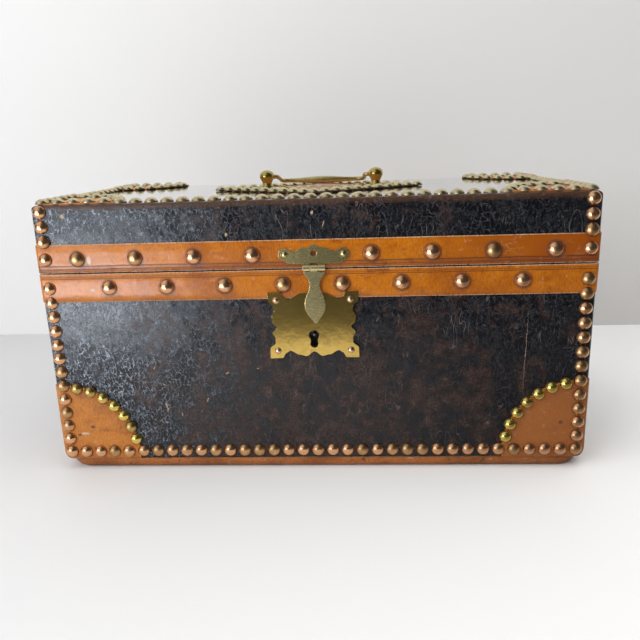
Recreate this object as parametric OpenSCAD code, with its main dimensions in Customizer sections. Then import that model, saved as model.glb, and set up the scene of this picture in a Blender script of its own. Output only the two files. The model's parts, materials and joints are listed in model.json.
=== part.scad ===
// Leather covered document box with a hinged lid, a bail handle, a hasp and a lock.
// X runs across the front, Y from the front to the back, Z is up, in millimetres.
// The origin is the centre of the underside, and the front faces -Y.

/* [Case and lid] */
// Width of the box over its black leather
box_w = 362; // [320:1:440]
// Depth of the box over its black leather
box_d = 198; // [180:1:260]
// Height of the seam between the case and the lid
seam_z = 141.3; // [130:0.1:180]
// Height of the lid over its black leather, from the seam
lid_h = 44.7; // [40:0.1:70]
// Open seam between the closed lid and the case
seam_gap = 0.8; // [0.3:0.1:1]
// Thickness of the wooden wall and lid boards
board_t = 8; // [7:0.5:10]
// Thickness of the bottom board
bottom_t = 7.4; // [7:0.1:12]
// Thickness of the black leather
leather_t = 0.8; // [0.6:0.1:1.2]
// Thickness of the paper lining
lining_t = 0.8; // [0.5:0.1:1.2]
// Radius of the upright edges
edge_r = 2.6; // [2:0.1:5]
// Radius of the lid's top edges at the front and the back
lid_edge_r = 2; // [1.6:0.1:2.4]
// Radius of the lid's top edges at the sides
lid_side_r = 4.5; // [2:0.1:6]
// Radius of the lower corners of the case, seen from the front
foot_r = 9; // [4:0.5:10]
// Radius of the lower edges of the case at the front and the back
foot_edge_r = 2; // [1.4:0.1:4]
// Radius of the corners of the bottom board, seen from above
bottom_corner_r = 18; // [16:1:30]
// Radius of the lower edge of the bottom board
bottom_edge_r = 6; // [4:0.1:7]
// Thickness of the tan leather round the edge of the bottom board
edging_t = 0.8; // [0.5:0.1:1.2]

/* [Straps and patches] */
// Width of the tan strap on the case, below the seam
case_strap_w = 19; // [16:0.5:22]
// Width of the tan strap on the lid, above the seam
lid_strap_w = 18.7; // [16:0.1:22]
// Thickness of the tan straps and patches
strap_t = 0.8; // [0.5:0.1:1.2]
// Radius of the arc of nails on a corner patch, about the corner nail
patch_arc_r = 48; // [40:1:56]
// Reach of a corner patch past its arc of nails
patch_margin = 1.5; // [0.5:0.5:3]
// Half width of the lozenge of nails under the handle
lozenge_half_w = 76; // [70:1:90]
// Half depth of the lozenge of nails under the handle
lozenge_half_d = 56; // [48:1:64]

/* [Nails] */
// Diameter of the small nail heads along the edges
edge_nail_d = 9.2; // [8:0.1:9.4]
// Height of the small nail heads
edge_nail_h = 3.2; // [2.4:0.1:4]
// Diameter of the nail heads round the patches
patch_nail_d = 8.8; // [7.6:0.1:9]
// Height of the nail heads round the patches
patch_nail_h = 3.1; // [2.4:0.1:4]
// Diameter of the large nail heads on the straps
strap_nail_d = 10.8; // [9.5:0.1:12]
// Height of the large nail heads
strap_nail_h = 3.7; // [2.8:0.1:4.5]
// Distance from an edge of the box to the middle of its edge nails
edge_nail_inset = 6; // [5:0.1:7]
// Height of the bottom row of nails above the bottom board
foot_nail_rise = 6.2; // [5:0.1:9]
// Longest pitch of the nails along the bottom and the lid edges
row_pitch = 10.3; // [10:0.01:12]
// Longest pitch of the nails up the corners
column_pitch = 9.85; // [9.7:0.05:11]
// Pitch of the nails round the patches
patch_pitch = 9.5; // [9.2:0.05:11]
// Pitch of the large nails on the straps
strap_pitch = 38.4; // [36:0.1:42]
// Distance from the side face's edge to the first nail of its bottom row
side_row_inset = 12; // [11:0.5:20]
// Length of a nail below its head
nail_length = 6; // [4:0.5:7]
// Diameter of a nail below its head
nail_shank_d = 1.6; // [1.2:0.1:2]

/* [Hasp] */
// Sideways place of the hasp
hasp_x = 1.5; // [-2:0.5:3]
// Half width of the hasp's leaf, to the middle of its ear
leaf_ear_x = 18.9; // [17:0.1:24]
// Radius of the leaf's ears
leaf_ear_r = 4; // [3.4:0.1:4.4]
// Height of the leaf's lower edge above the seam
leaf_low = 3.6; // [3.4:0.1:4.5]
// Height of the leaf, to its centre lobe
leaf_h = 12; // [11:0.1:14]
// Thickness of the leaf
leaf_t = 1.2; // [1:0.1:1.6]
// Diameter of the hasp's knuckles
hasp_knuckle_d = 4.2; // [3.8:0.1:5]
// Height of the hasp's hinge pin above the seam
hasp_pin_rise = 0.9; // [0.5:0.1:1.1]
// Diameter of the hasp's hinge pin
hasp_pin_d = 1.6; // [1.2:0.1:1.8]
// Width of all the hasp's knuckles together
hasp_hinge_w = 14.4; // [13.6:0.1:17]
// Width of the tongue's own knuckle
tongue_knuckle_w = 4.8; // [4:0.1:6]
// Width of the tongue at its top
tongue_top_w = 13.6; // [12:0.1:14]
// Width of the tongue at its waist
tongue_waist_w = 6.4; // [5.6:0.1:9]
// Width of the tongue at its belly
tongue_belly_w = 13.4; // [12:0.1:16]
// Length of the tongue below its hinge pin
tongue_l = 36.6; // [34:0.1:40]
// Thickness of the tongue
tongue_t = 1.4; // [1.2:0.1:1.8]
// Gap between the tongue and the lock plate
tongue_gap = 0.3; // [0.2:0.05:0.6]
// Thickness of the staple on the back of the tongue
staple_t = 2.2; // [1.8:0.1:2.6]
// Distance from the hinge pin down to the middle of the staple's eye
staple_drop = 27.4; // [26.5:0.1:28.5]

/* [Lock] */
// Width of the lock plate
plate_w = 59.2; // [56:0.1:70]
// Height of the lock plate
plate_h = 45; // [44:0.5:50]
// Depth of the scallops in the lock plate's outline
plate_scallop = 5; // [3:0.1:6]
// Thickness of the lock plate, over the black leather
plate_t = 2; // [1.6:0.1:2.4]
// Distance from the seam down to the top of the lock plate
plate_drop = 15; // [14:0.1:17]
// Distance from the top of the lock plate down to the middle of the keyhole
keyhole_drop = 29.4; // [28:0.1:31]
// Radius of the round part of the keyhole
keyhole_r = 3.5; // [2.8:0.1:3.8]
// Length of the keyhole's slot below its round part's middle
keyhole_slot = 8.5; // [8:0.1:11]
// Width of the lock case in the front board
lock_w = 40; // [38:1:44]
// Height of the lock case
lock_h = 38; // [37:1:42]
// Thickness of the walls of the lock case
lock_wall = 1; // [0.8:0.1:1.2]
// Thickness of the lock's cap plate on the inside of the front board
cap_t = 1; // [0.8:0.1:1.5]
// Width of the cap plate past the lock case
cap_margin = 5; // [4:0.5:6]
// Height of the sliding bolt
bolt_h = 2.6; // [2:0.1:3]
// Thickness of the sliding bolt
bolt_t = 2.4; // [2:0.1:2.8]
// Travel of the sliding bolt
bolt_travel = 5; // [4:0.1:5.5]
// Clearance round the sliding bolt
bolt_gap = 0.25; // [0.15:0.05:0.4]
// Diameter of the drill pin in the keyhole
drill_pin_d = 1.6; // [1.2:0.1:2]

/* [Handle] */
// Sideways place of the handle
handle_x = 2.5; // [-4:0.5:4]
// Half distance between the handle's posts
post_x = 42; // [38:0.5:50]
// Height of the bail's pivot above the handle's rose
pivot_rise = 7.8; // [7:0.1:11]
// Radius of a post's ball
post_ball_r = 5.6; // [4.6:0.1:5.8]
// Radius of a post's foot
post_foot_r = 4.4; // [3.6:0.1:5]
// Radius of a post's waist
post_waist_r = 3.6; // [2.4:0.1:4]
// Thickness of the rose under a post
rose_t = 1.2; // [0.8:0.1:1.8]
// Half length of a rose, to the middle of its end lobe
rose_half_l = 13.2; // [9:0.1:14]
// Distance from the pivot to the middle of the bail's bar
bail_reach = 30; // [26:0.5:34]
// Half distance between the bail's arms
bail_arm_x = 33.6; // [30:0.1:34]
// Diameter of the bail's arms and pins
bail_arm_d = 3.2; // [2.2:0.1:3.4]
// Diameter of the bail's bar at its middle
bail_bar_d = 5.8; // [4:0.1:6.4]
// Gap between the folded bail's bar and the patch under it
bail_gap = 1.5; // [0.5:0.1:3]
// Diameter of a post's threaded shank
post_shank_d = 3; // [2.6:0.1:3.6]

/* [Lid hinges] */
// Distance from the side of the box to the middle of a hinge
hinge_inset = 70; // [50:1:90]
// Width of a hinge
hinge_w = 32; // [28:1:40]
// Diameter of the hinge knuckles
hinge_knuckle_d = 5; // [4.4:0.1:5.6]
// Diameter of the hinge pins
hinge_pin_d = 2; // [1.6:0.1:2.4]
// Thickness of the hinge leaves
hinge_leaf_t = 1.2; // [1:0.1:1.3]
// Reach of a hinge leaf over its board, from the face of the leather
hinge_leaf_l = 8; // [7:0.1:8.5]

/* [Hidden] */
$fn = 48;
tiny = 0.01;
run_gap = 0.08;
side_gap = 0.2;
hinge_face_gap = 0.15;
lining_gap = 0.3;

// Heights that the pieces share
case_top = seam_z - seam_gap / 2;
lid_low = seam_z + seam_gap / 2;
lid_top = seam_z + lid_h;
floor_z = bottom_t + lining_t;
wall_low = bottom_t + leather_t;
wall_top = case_top - leather_t;
rail_low = lid_low + leather_t;
lid_board_top = lid_top - leather_t;
rail_top = lid_board_top - board_t;
ceiling_z = rail_top - lining_t;

// Plan sizes that the pieces share
board_w = box_w - 2 * leather_t;
board_d = box_d - 2 * leather_t;
room_w = board_w - 2 * board_t;
room_d = board_d - 2 * board_t;
plinth_x = box_w / 2 - bottom_corner_r;
plinth_y = box_d / 2 - bottom_corner_r;
front_y = -box_d / 2;

// Nails
corner_x = box_w / 2 - edge_nail_inset;
corner_y = box_d / 2 - edge_nail_inset;
foot_nail_z = bottom_t + foot_nail_rise;
side_nail_tilt = asin(max(foot_r - foot_nail_rise, 0) / foot_r);
side_nail_sink = 0.4;
case_strap_low = case_top - case_strap_w;
lid_strap_top = lid_low + lid_strap_w;
case_strap_nail_z = case_top - case_strap_w / 2;
lid_strap_nail_z = lid_low + lid_strap_w / 2 - 0.3;
patch_arc_start = 11;
patch_reach = patch_arc_r + patch_margin;
patch_wrap = max(edge_r, foot_edge_r);
patch_corner_r = 1;
least_nail_gap = 5;
strap_end_x = corner_x - (edge_nail_d + strap_nail_d) / 2 - least_nail_gap;
strap_end_y = box_d / 2 - strap_nail_d / 2 - least_nail_gap;
lid_nail_drop = 4.4;
lid_nail_pitch = 9.6;
edging_lift = 0.3;

// Hasp
hasp_pin_y = front_y - strap_t - hasp_knuckle_d / 2;
hasp_pin_z = seam_z + hasp_pin_rise;
leaf_front = front_y - strap_t - leaf_t;
plate_front = front_y - plate_t;
tongue_back = min(leaf_front, plate_front) - tongue_gap;
hasp_gap = 0.3;
staple_hole_h = bolt_h + 0.8;
staple_hole_l = bolt_t + 0.8;
staple_rim = 1.5;
staple_z = hasp_pin_z - staple_drop;
staple_slot_gap = 0.4;
staple_half_h = staple_hole_h / 2 + staple_rim;
tongue_top = hasp_knuckle_d / 2 + hasp_gap;
leaf_ear_up = 6;
leaf_notch_h = 0.3;
leaf_hole_up = 6.5;
leaf_hole_d = 4;
leaf_pin_d = 4.6;
leaf_pin_h = 1.4;

// Upper outline of the hasp's leaf: share of the way to its ear, and share of its height
leaf_line = [[0, 1], [0.16, 0.95], [0.19, 0.85], [0.37, 0.85], [0.71, 0.66], [0.86, 0.75]];

// Lock
plate_top = seam_z - plate_drop;
keyhole_z = plate_top - keyhole_drop;
lock_front = front_y + leather_t;
lock_back = lock_front + board_t;
bolt_y = lock_front + 3.6;
staple_end_y = bolt_y + staple_hole_l / 2 + staple_rim;
slot_high = staple_drop - staple_half_h - side_gap;
slot_low = norm([staple_drop + staple_half_h, staple_end_y - hasp_pin_y]) + side_gap;
lock_z = (hasp_pin_z - slot_high + keyhole_z - keyhole_slot) / 2;
bolt_tip_x = hasp_x - staple_t / 2 - 0.5;
bolt_l = 15.4;
guide_l = 4;
guide_x = bolt_tip_x - 1.5 - guide_l;
guide_wall = 1.2;
bolt_arm_w = 3;
bolt_foot_l = 11;
bolt_foot_gap = 0.6;
keyhole_neck = 4.8;
keyhole_low_r = 2.7;
plate_pin_inset = 5.3;
plate_pin_d = 4.6;
plate_pin_h = 1.5;
lock_screw_d = 3.4;
lock_screw_h = 0.9;

// Outline of the lock plate: share of the half width or of the height, and share of the scallop's depth
plate_top_line = [[0, 0.12], [0.25, 0.14], [0.56, 0.96], [0.68, 0.68], [0.7, 0], [1, 0]];
plate_side_line = [[0, 0], [0.14, 0.04], [0.19, 0.64], [0.27, 0.76], [0.37, 0.4], [0.45, 0.44],
  [0.52, 1], [0.61, 0.44], [0.69, 0.78], [0.76, 0.78], [0.85, 0.04], [1, 0]];
plate_foot_line = [[1, 0], [0.72, 0.04], [0.64, 0.72], [0.55, 1.04], [0.33, 0.46], [0.18, 0.28], [0, 0.9]];

// Handle
patch_top = lid_top + strap_t;
pivot_z = patch_top + rose_t + pivot_rise;
bail_rest_z = patch_top + bail_gap + bail_bar_d / 2;
bail_tilt = asin((pivot_z - bail_rest_z) / bail_reach);
nut_d = 8;
nut_h = 2.4;
nut_pocket_h = 3;
post_cap_h = 5;
rose_margin = 1.2;
rose_arm_w = 4.6;
rose_lobe_r = 2.9;
rose_pin_d = 3.4;
rose_pin_h = 1.1;
bail_elbow_r = 2.4;
bail_corner_r = 6;
bail_pin_end = 3;

// Hinges
hinge_x = box_w / 2 - hinge_inset;
hinge_y = box_d / 2 + strap_t + hinge_knuckle_d / 2 + side_gap;
hinge_leaf_y = box_d / 2 - hinge_leaf_l;
hinge_lug_w = (hinge_w - 2 * side_gap) * 0.3;
hinge_screw_d = 3.8;
hinge_screw_inset = 3.2;

black = [0.10, 0.10, 0.12];
tan = [0.66, 0.36, 0.12];
pine = [0.72, 0.56, 0.36];
paper = [0.62, 0.55, 0.45];
copper = [0.80, 0.52, 0.34];
brass = [0.74, 0.62, 0.28];
old_brass = [0.56, 0.47, 0.22];
steel = [0.45, 0.44, 0.42];

// Evenly spaced places from a to b, at most pitch apart
function spread(a, b, pitch) =
  let (n = ceil((b - a) / pitch - 0.02))
  [for (i = [0 : n]) a + (b - a) * i / n];

// Places at the strap pitch on both sides of the middle, half a pitch off it or on it
function strap_places(half, off) =
  let (n = floor((half - off * strap_pitch) / strap_pitch))
  [for (i = [0 : n], s = [-1, 1]) if (off > 0 || i > 0 || s > 0) s * (i + off) * strap_pitch];

// Points of a smooth line through stations, each [along, across]
function eased(stations, steps = 8) = [
  for (i = [0 : len(stations) - 2], k = [0 : steps - 1])
    let (a = stations[i], b = stations[i + 1], t = k / steps, e = (1 - cos(180 * t)) / 2)
      [a[0] + (b[0] - a[0]) * t, a[1] + (b[1] - a[1]) * e]
];

// Points of a rounded line that passes through its stations, each [along, across]
function smooth_line(stations, steps = 5) =
  let (n = len(stations) - 1)
  [for (i = [0 : n], k = [0 : i < n ? steps - 1 : 0])
    let (a = stations[max(i - 1, 0)], b = stations[i], c = stations[min(i + 1, n)],
         d = stations[min(i + 2, n)], t = k / steps)
      (2 * b + (c - a) * t + (2 * a - 5 * b + 4 * c - d) * t * t
        + (3 * b - a - 3 * c + d) * t * t * t) / 2
  ];

function flipped(points) = [for (i = [len(points) - 1 : -1 : 0]) [-points[i][0], points[i][1]]];

module rounded_rect(w, d, r) {
  square([w - 2 * r, d], center = true);
  square([w, d - 2 * r], center = true);
  for (sx = [-1, 1], sy = [-1, 1])
    translate([sx * (w / 2 - r), sy * (d / 2 - r)]) circle(r);
}

module slab(w, d, z0, z1, r) {
  translate([0, 0, z0]) linear_extrude(z1 - z0) rounded_rect(w, d, r);
}

module room(w, d, z0, z1) {
  translate([-w / 2, -d / 2, z0]) cube([w, d, z1 - z0]);
}

// Side view of a block with rounded lower corners
module foot_view(w, z0, z1, r) {
  translate([-w / 2, z0 + r]) square([w, z1 - z0 - r]);
  translate([r - w / 2, z0]) square([w - 2 * r, z1 - z0]);
  for (s = [-1, 1]) translate([s * (w / 2 - r), z0 + r]) circle(r);
}

// Block of the case, grown by t, with rounded upright edges and rounded lower corners
module case_block(w, d, z0, z1, t) {
  intersection() {
    slab(w, d, z0, z1, edge_r + t);
    rotate([90, 0, 0]) linear_extrude(d + 2, center = true) foot_view(w, z0, z1, foot_r + t);
    rotate([90, 0, 90]) linear_extrude(w + 2, center = true) foot_view(d, z0, z1, foot_edge_r + t);
  }
}

// Section of the plinth's rim, from the middle of its corner out, grown by t
module plinth_view(t) {
  r = bottom_corner_r - edging_t;
  intersection() {
    union() {
      square([r - bottom_edge_r, bottom_t]);
      translate([0, bottom_edge_r]) square([r + t, bottom_t - bottom_edge_r]);
      translate([r - bottom_edge_r, bottom_edge_r]) circle(bottom_edge_r + t);
    }
    square([r + t, bottom_t]);
  }
}

// Run a section round the rim of the plinth
module round_plinth() {
  both_x() both_y() translate([plinth_x, plinth_y, 0]) rotate_extrude(angle = 90) children();
  both_x() translate([plinth_x, 0, 0]) rotate([90, 0, 0])
    linear_extrude(2 * plinth_y, center = true) children();
  both_y() translate([0, plinth_y, 0]) rotate([90, 0, 90])
    linear_extrude(2 * plinth_x, center = true) children();
}

// Side view of a block with rounded upper corners
module top_view(w, h, r) {
  translate([-w / 2, 0]) square([w, h - r]);
  translate([r - w / 2, 0]) square([w - 2 * r, h]);
  for (s = [-1, 1]) translate([s * (w / 2 - r), h - r]) circle(r);
}

// Block with rounded upright edges and rounded top edges, those at the sides by side_r
module lid_block(w, d, z0, z1, r, top_r, side_r) {
  intersection() {
    slab(w, d, z0, z1, r);
    translate([0, 0, z0]) rotate([90, 0, 0]) linear_extrude(d + 2, center = true)
      top_view(w, z1 - z0, side_r);
    translate([0, 0, z0]) rotate([90, 0, 90]) linear_extrude(w + 2, center = true)
      top_view(d, z1 - z0, top_r);
  }
}

module case_core() {
  case_block(board_w, board_d, wall_low, wall_top, -leather_t);
}

module lid_core() {
  lid_block(board_w, board_d, rail_low, lid_board_top,
            edge_r - leather_t, lid_edge_r - leather_t, lid_side_r - leather_t);
}

// Turned parts with their axis along X
module along_x(d, x0, x1) {
  translate([x0, 0, 0]) rotate([0, 90, 0]) cylinder(d = d, h = x1 - x0);
}

module dome(d, h) {
  ball_r = (d * d / 4 + h * h) / (2 * h);
  rotate_extrude() intersection() {
    translate([0, h - ball_r]) circle(ball_r);
    square([d / 2, h]);
  }
}

// A nail whose head sits at lift above the face, with its point in the board
module nail(d, h, lift = 0) {
  translate([0, 0, lift]) dome(d, h);
  translate([0, 0, -nail_length]) cylinder(d = nail_shank_d, h = nail_length + lift + h / 2, $fn = 24);
}

// Children and their mirror image across the width, or across the depth
module both_x() {
  children();
  mirror([1, 0, 0]) children();
}

module both_y() {
  children();
  mirror([0, 1, 0]) children();
}

// Stand children, drawn flat with Y up, on the front or the right face
module on_front() {
  translate([0, front_y, 0]) rotate([90, 0, 0]) children();
}

module on_right() {
  translate([box_w / 2, 0, 0]) rotate([90, 0, 90]) children();
}

// Nails of a quarter arc about a corner nail
module patch_arc() {
  span = 90 - 2 * patch_arc_start;
  n = round(patch_arc_r * span * PI / 180 / patch_pitch);
  for (i = [0 : n]) let (a = patch_arc_start + span * i / n)
    translate([patch_arc_r * cos(a), patch_arc_r * sin(a), 0])
      nail(patch_nail_d, patch_nail_h, strap_t);
}

module edge_nail(lift) {
  nail(edge_nail_d, edge_nail_h, lift);
}

module strap_nail() {
  nail(strap_nail_d, strap_nail_h, strap_t);
}

// Bottom of the box
module bottom_board() {
  color(pine) {
    round_plinth() plinth_view(0);
    room(2 * plinth_x, 2 * plinth_y, 0, bottom_t);
  }
}

module base_edging() {
  color(tan) round_plinth() difference() {
    plinth_view(edging_t);
    plinth_view(0);
    square([bottom_corner_r + 1, edging_lift]);
  }
}

// Walls of the case
module case_front_board() {
  color(pine) difference() {
    intersection() {
      case_core();
      translate([0, -(board_d - board_t) / 2, 0]) room(board_w, board_t, 0, case_top);
    }
    translate([-lock_w / 2, lock_front - 1, lock_z - lock_h / 2]) cube([lock_w, board_t + 2, lock_h]);
  }
}

module case_back_board() {
  color(pine) difference() {
    intersection() {
      case_core();
      translate([0, (board_d - board_t) / 2, 0]) room(board_w, board_t, 0, case_top);
    }
    hinge_recess();
  }
}

module case_side_board(s) {
  color(pine) intersection() {
    case_core();
    translate([s * (board_w - board_t) / 2, 0, 0]) room(board_t, room_d, 0, case_top);
  }
}

module case_left_board() {
  case_side_board(-1);
}

module case_right_board() {
  case_side_board(1);
}

module case_leather() {
  color(black) difference() {
    case_block(box_w, box_d, bottom_t, case_top, 0);
    case_core();
    room(room_w, room_d, 0, lid_top);
    hinge_recess();
    keyhole_cut();
    staple_cut();
  }
}

// Straps either side of the seam
module strap_ring(z0, z1) {
  difference() {
    slab(box_w + 2 * strap_t, box_d + 2 * strap_t, z0, z1, edge_r + strap_t);
    slab(box_w, box_d, z0 - 1, z1 + 1, edge_r);
    hinge_recess();
  }
}

module case_strap() {
  color(tan) strap_ring(case_strap_low, case_top);
}

module lid_strap() {
  color(tan) strap_ring(lid_low, lid_strap_top);
}

// Tan patch round a lower corner of the case
module case_patch(sx, sy) {
  color(tan) intersection() {
    difference() {
      case_block(box_w + 2 * strap_t, box_d + 2 * strap_t, bottom_t - strap_t, case_top, strap_t);
      case_block(box_w, box_d, bottom_t, case_top + 1, 0);
    }
    union() {
      translate([sx * corner_x, sy * (box_d / 2 - patch_wrap), foot_nail_z])
        rotate([-90 * sy, 0, 0]) cylinder(r = patch_reach, h = patch_wrap + 2);
      translate([sx * (box_w / 2 - foot_r), sy * corner_y, foot_nail_z])
        rotate([0, 90 * sx, 0]) cylinder(r = patch_reach, h = foot_r + 2);
    }
    room(box_w + 4, box_d + 4, bottom_t, case_top);
  }
}

module case_patch_front_left() {
  case_patch(-1, -1);
}

module case_patch_front_right() {
  case_patch(1, -1);
}

module case_patch_back_left() {
  case_patch(-1, 1);
}

module case_patch_back_right() {
  case_patch(1, 1);
}

// Nails of the case
module case_edge_nails() {
  color(copper) {
    both_y() on_front() {
      for (x = spread(-corner_x, corner_x, row_pitch))
        translate([x, foot_nail_z, 0]) edge_nail(abs(x) > corner_x - patch_reach ? strap_t : 0);
      for (s = [-1, 1], z = spread(foot_nail_z, case_strap_nail_z, column_pitch))
        if (z > foot_nail_z + 1) translate([s * corner_x, z, 0])
          edge_nail(z < foot_nail_z + patch_reach || z > case_strap_low ? strap_t : 0);
    }
    both_x() on_right() for (y = spread(side_row_inset - box_d / 2, box_d / 2 - side_row_inset, row_pitch))
      translate([y, bottom_t + foot_r, -foot_r]) rotate([side_nail_tilt, 0, 0]) translate([0, 0, foot_r])
        edge_nail((abs(y) > corner_y - patch_reach ? strap_t : 0) - side_nail_sink);
  }
}

module case_patch_nails() {
  color(brass) {
    both_x() both_y() on_front() translate([-corner_x, foot_nail_z, 0]) patch_arc();
    both_x() both_y() on_right() translate([-corner_y, foot_nail_z, 0]) patch_arc();
  }
}

module case_strap_nails() {
  color(copper) {
    both_y() on_front() for (x = strap_places(strap_end_x, 0.5))
      translate([x, case_strap_nail_z, 0]) strap_nail();
    both_x() on_right() for (y = strap_places(strap_end_y, 0.5))
      translate([y, case_strap_nail_z, 0]) strap_nail();
  }
}

// Linings of the case
module case_wall_lining() {
  color(paper) difference() {
    room(room_w, room_d, floor_z, case_top - lining_gap);
    room(room_w - 2 * lining_t, room_d - 2 * lining_t, 0, lid_top);
    cap_outline(lining_gap, lock_back - 1, lock_back + lining_t + 1);
  }
}

module case_floor_lining() {
  color(paper) room(room_w, room_d, bottom_t, floor_z);
}

// Shapes cut through the front for the lock
module keyhole_shape() {
  circle(keyhole_r);
  translate([-keyhole_neck / 2, keyhole_low_r - keyhole_slot]) square([keyhole_neck, keyhole_slot - keyhole_low_r]);
  translate([0, keyhole_low_r - keyhole_slot]) circle(keyhole_low_r);
}

module keyhole_cut() {
  translate([0, lock_front + lock_wall + 0.5, keyhole_z]) rotate([90, 0, 0])
    linear_extrude(lock_wall + leather_t + plate_t + 2) keyhole_shape();
}

module staple_cut() {
  w = staple_t + 2 * staple_slot_gap;
  translate([hasp_x - w / 2, plate_front - 1, hasp_pin_z - slot_low])
    cube([w, plate_t + leather_t + lock_wall + 1.5, slot_low - slot_high]);
}

// Lock plate with its scalloped outline
function plate_half() = concat(
  [for (p = eased(plate_top_line)) [p[0] * plate_w / 2, -p[1] * plate_scallop]],
  [for (p = eased(plate_side_line)) [plate_w / 2 - p[1] * plate_scallop, -p[0] * plate_h]],
  [for (p = eased(plate_foot_line)) [p[0] * plate_w / 2, p[1] * plate_scallop - plate_h]],
  [[0, plate_foot_line[len(plate_foot_line) - 1][1] * plate_scallop - plate_h]]
);

module plate_pin_places() {
  x = plate_w / 2 - plate_pin_inset;
  for (s = [-1, 1], z = [-plate_pin_inset, plate_pin_inset - plate_h])
    translate([s * x, plate_top + z, 0]) children();
}

module lock_plate() {
  color(old_brass) difference() {
    on_front() translate([0, plate_top, 0]) linear_extrude(plate_t)
      polygon(concat(plate_half(), flipped(plate_half())));
    slab(box_w + 2 * strap_t, box_d + 2 * strap_t, case_strap_low, case_top, edge_r + strap_t);
    keyhole_cut();
    staple_cut();
    on_front() plate_pin_places() cylinder(d = nail_shank_d, h = plate_t + 1, $fn = 24);
  }
}

module lock_plate_pins() {
  color(brass) on_front() plate_pin_places() nail(plate_pin_d, plate_pin_h, plate_t);
}

// Lock behind the plate
module lock_case() {
  y0 = lock_front + lock_wall;
  guide_h = bolt_h + 2 * (bolt_gap + guide_wall);
  guide_y = bolt_y + bolt_t / 2 + bolt_gap + guide_wall;
  color(steel) difference() {
    union() {
      difference() {
        translate([-lock_w / 2, lock_front, lock_z - lock_h / 2]) cube([lock_w, board_t, lock_h]);
        translate([lock_wall - lock_w / 2, y0, lock_z - lock_h / 2 + lock_wall])
          cube([lock_w - 2 * lock_wall, board_t, lock_h - 2 * lock_wall]);
      }
      translate([guide_x, y0 - tiny, staple_z - guide_h / 2]) cube([guide_l, guide_y - y0 + tiny, guide_h]);
    }
    translate([guide_x - 1, bolt_y - bolt_t / 2 - bolt_gap, staple_z - bolt_h / 2 - bolt_gap])
      cube([guide_l + 2, bolt_t + 2 * bolt_gap, bolt_h + 2 * bolt_gap]);
    keyhole_cut();
    staple_cut();
  }
}

module cap_outline(gap, y0, y1) {
  w = lock_w + 2 * (cap_margin + gap);
  h = lock_h + 2 * (cap_margin + gap);
  translate([-w / 2, y0, lock_z - h / 2]) cube([w, y1 - y0, h]);
}

module lock_screw_places() {
  for (sx = [-1, 1], sz = [-1, 1])
    translate([sx * (lock_w + cap_margin) / 2, lock_back, lock_z + sz * (lock_h + cap_margin) / 2])
      rotate([-90, 0, 0]) children();
}

module lock_cap() {
  color(steel) difference() {
    cap_outline(0, lock_back, lock_back + cap_t);
    lock_screw_places() cylinder(d = nail_shank_d, h = cap_t + 1, $fn = 24);
  }
}

module lock_screws() {
  color(steel) lock_screw_places() nail(lock_screw_d, lock_screw_h, cap_t);
}

module lock_drill_pin() {
  color(steel) translate([0, lock_back, keyhole_z]) rotate([90, 0, 0])
    cylinder(d = drill_pin_d, h = lock_back - front_y + plate_t / 2);
}

// Sliding bolt with the arm that the key pushes
module lock_bolt() {
  tail_x = bolt_tip_x - bolt_l;
  foot_z = keyhole_z + keyhole_r + bolt_foot_gap;
  color(steel) {
    translate([tail_x, bolt_y - bolt_t / 2, staple_z - bolt_h / 2]) cube([bolt_l, bolt_t, bolt_h]);
    translate([tail_x, bolt_y - bolt_t / 2, foot_z])
      cube([bolt_arm_w, bolt_t, staple_z - foot_z]);
    translate([tail_x, bolt_y - bolt_t / 2, foot_z]) cube([bolt_foot_l, bolt_t, bolt_h]);
  }
}

// Butt hinges at the back of the seam
module hinge_recess() {
  t = hinge_leaf_t + hinge_face_gap;
  for (s = [-1, 1])
    translate([s * hinge_x - hinge_w / 2, hinge_leaf_y, seam_z - t]) cube([hinge_w, box_d, 2 * t]);
}

// A lug of a hinge leaf, as wide as w, about the sideways place x
module hinge_lug(x, w) {
  translate([x - w / 2, hinge_y - hinge_knuckle_d / 2 - side_gap - 1, hinge_face_gap])
    cube([w, hinge_knuckle_d / 2 + side_gap + 1, hinge_leaf_t]);
  translate([0, hinge_y, 0]) along_x(hinge_knuckle_d, x - w / 2, x + w / 2);
}

module hinge_sheet() {
  end = hinge_y - hinge_knuckle_d / 2 - side_gap;
  difference() {
    translate([-hinge_w / 2, hinge_leaf_y, hinge_face_gap])
      cube([hinge_w, end - hinge_leaf_y, hinge_leaf_t]);
    hinge_screw_places() hinge_screw();
  }
}

module hinge_screw_places() {
  for (s = [-1, 0, 1])
    translate([s * hinge_w * 0.3, hinge_leaf_y + hinge_screw_inset, hinge_face_gap]) children();
}

// Countersunk screw with its head flush with the inner face of the leaf
module hinge_screw() {
  cylinder(d1 = hinge_screw_d, d2 = nail_shank_d, h = hinge_leaf_t);
  cylinder(d = nail_shank_d, h = hinge_leaf_t + nail_length, $fn = 24);
}

module hinge_case_leaf(s) {
  color(brass) translate([s * hinge_x, 0, seam_z]) mirror([0, 0, 1]) difference() {
    union() {
      hinge_sheet();
      both_x() hinge_lug((hinge_w - hinge_lug_w) / 2, hinge_lug_w);
    }
    translate([0, hinge_y, 0]) along_x(hinge_pin_d, -hinge_w, hinge_w);
  }
}

module hinge_lid_leaf(s) {
  color(brass) translate([s * hinge_x, 0, seam_z]) difference() {
    union() {
      hinge_sheet();
      hinge_lug(0, hinge_w - 2 * (hinge_lug_w + side_gap));
    }
    translate([0, hinge_y, 0]) along_x(hinge_pin_d + 2 * run_gap, -hinge_w, hinge_w);
  }
}

module hinge_case_leaf_left() {
  hinge_case_leaf(-1);
}

module hinge_case_leaf_right() {
  hinge_case_leaf(1);
}

module hinge_lid_leaf_left() {
  hinge_lid_leaf(-1);
}

module hinge_lid_leaf_right() {
  hinge_lid_leaf(1);
}

module hinge_pins() {
  color(steel) both_x() translate([hinge_x, hinge_y, seam_z]) along_x(hinge_pin_d, -hinge_w / 2, hinge_w / 2);
}

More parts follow.
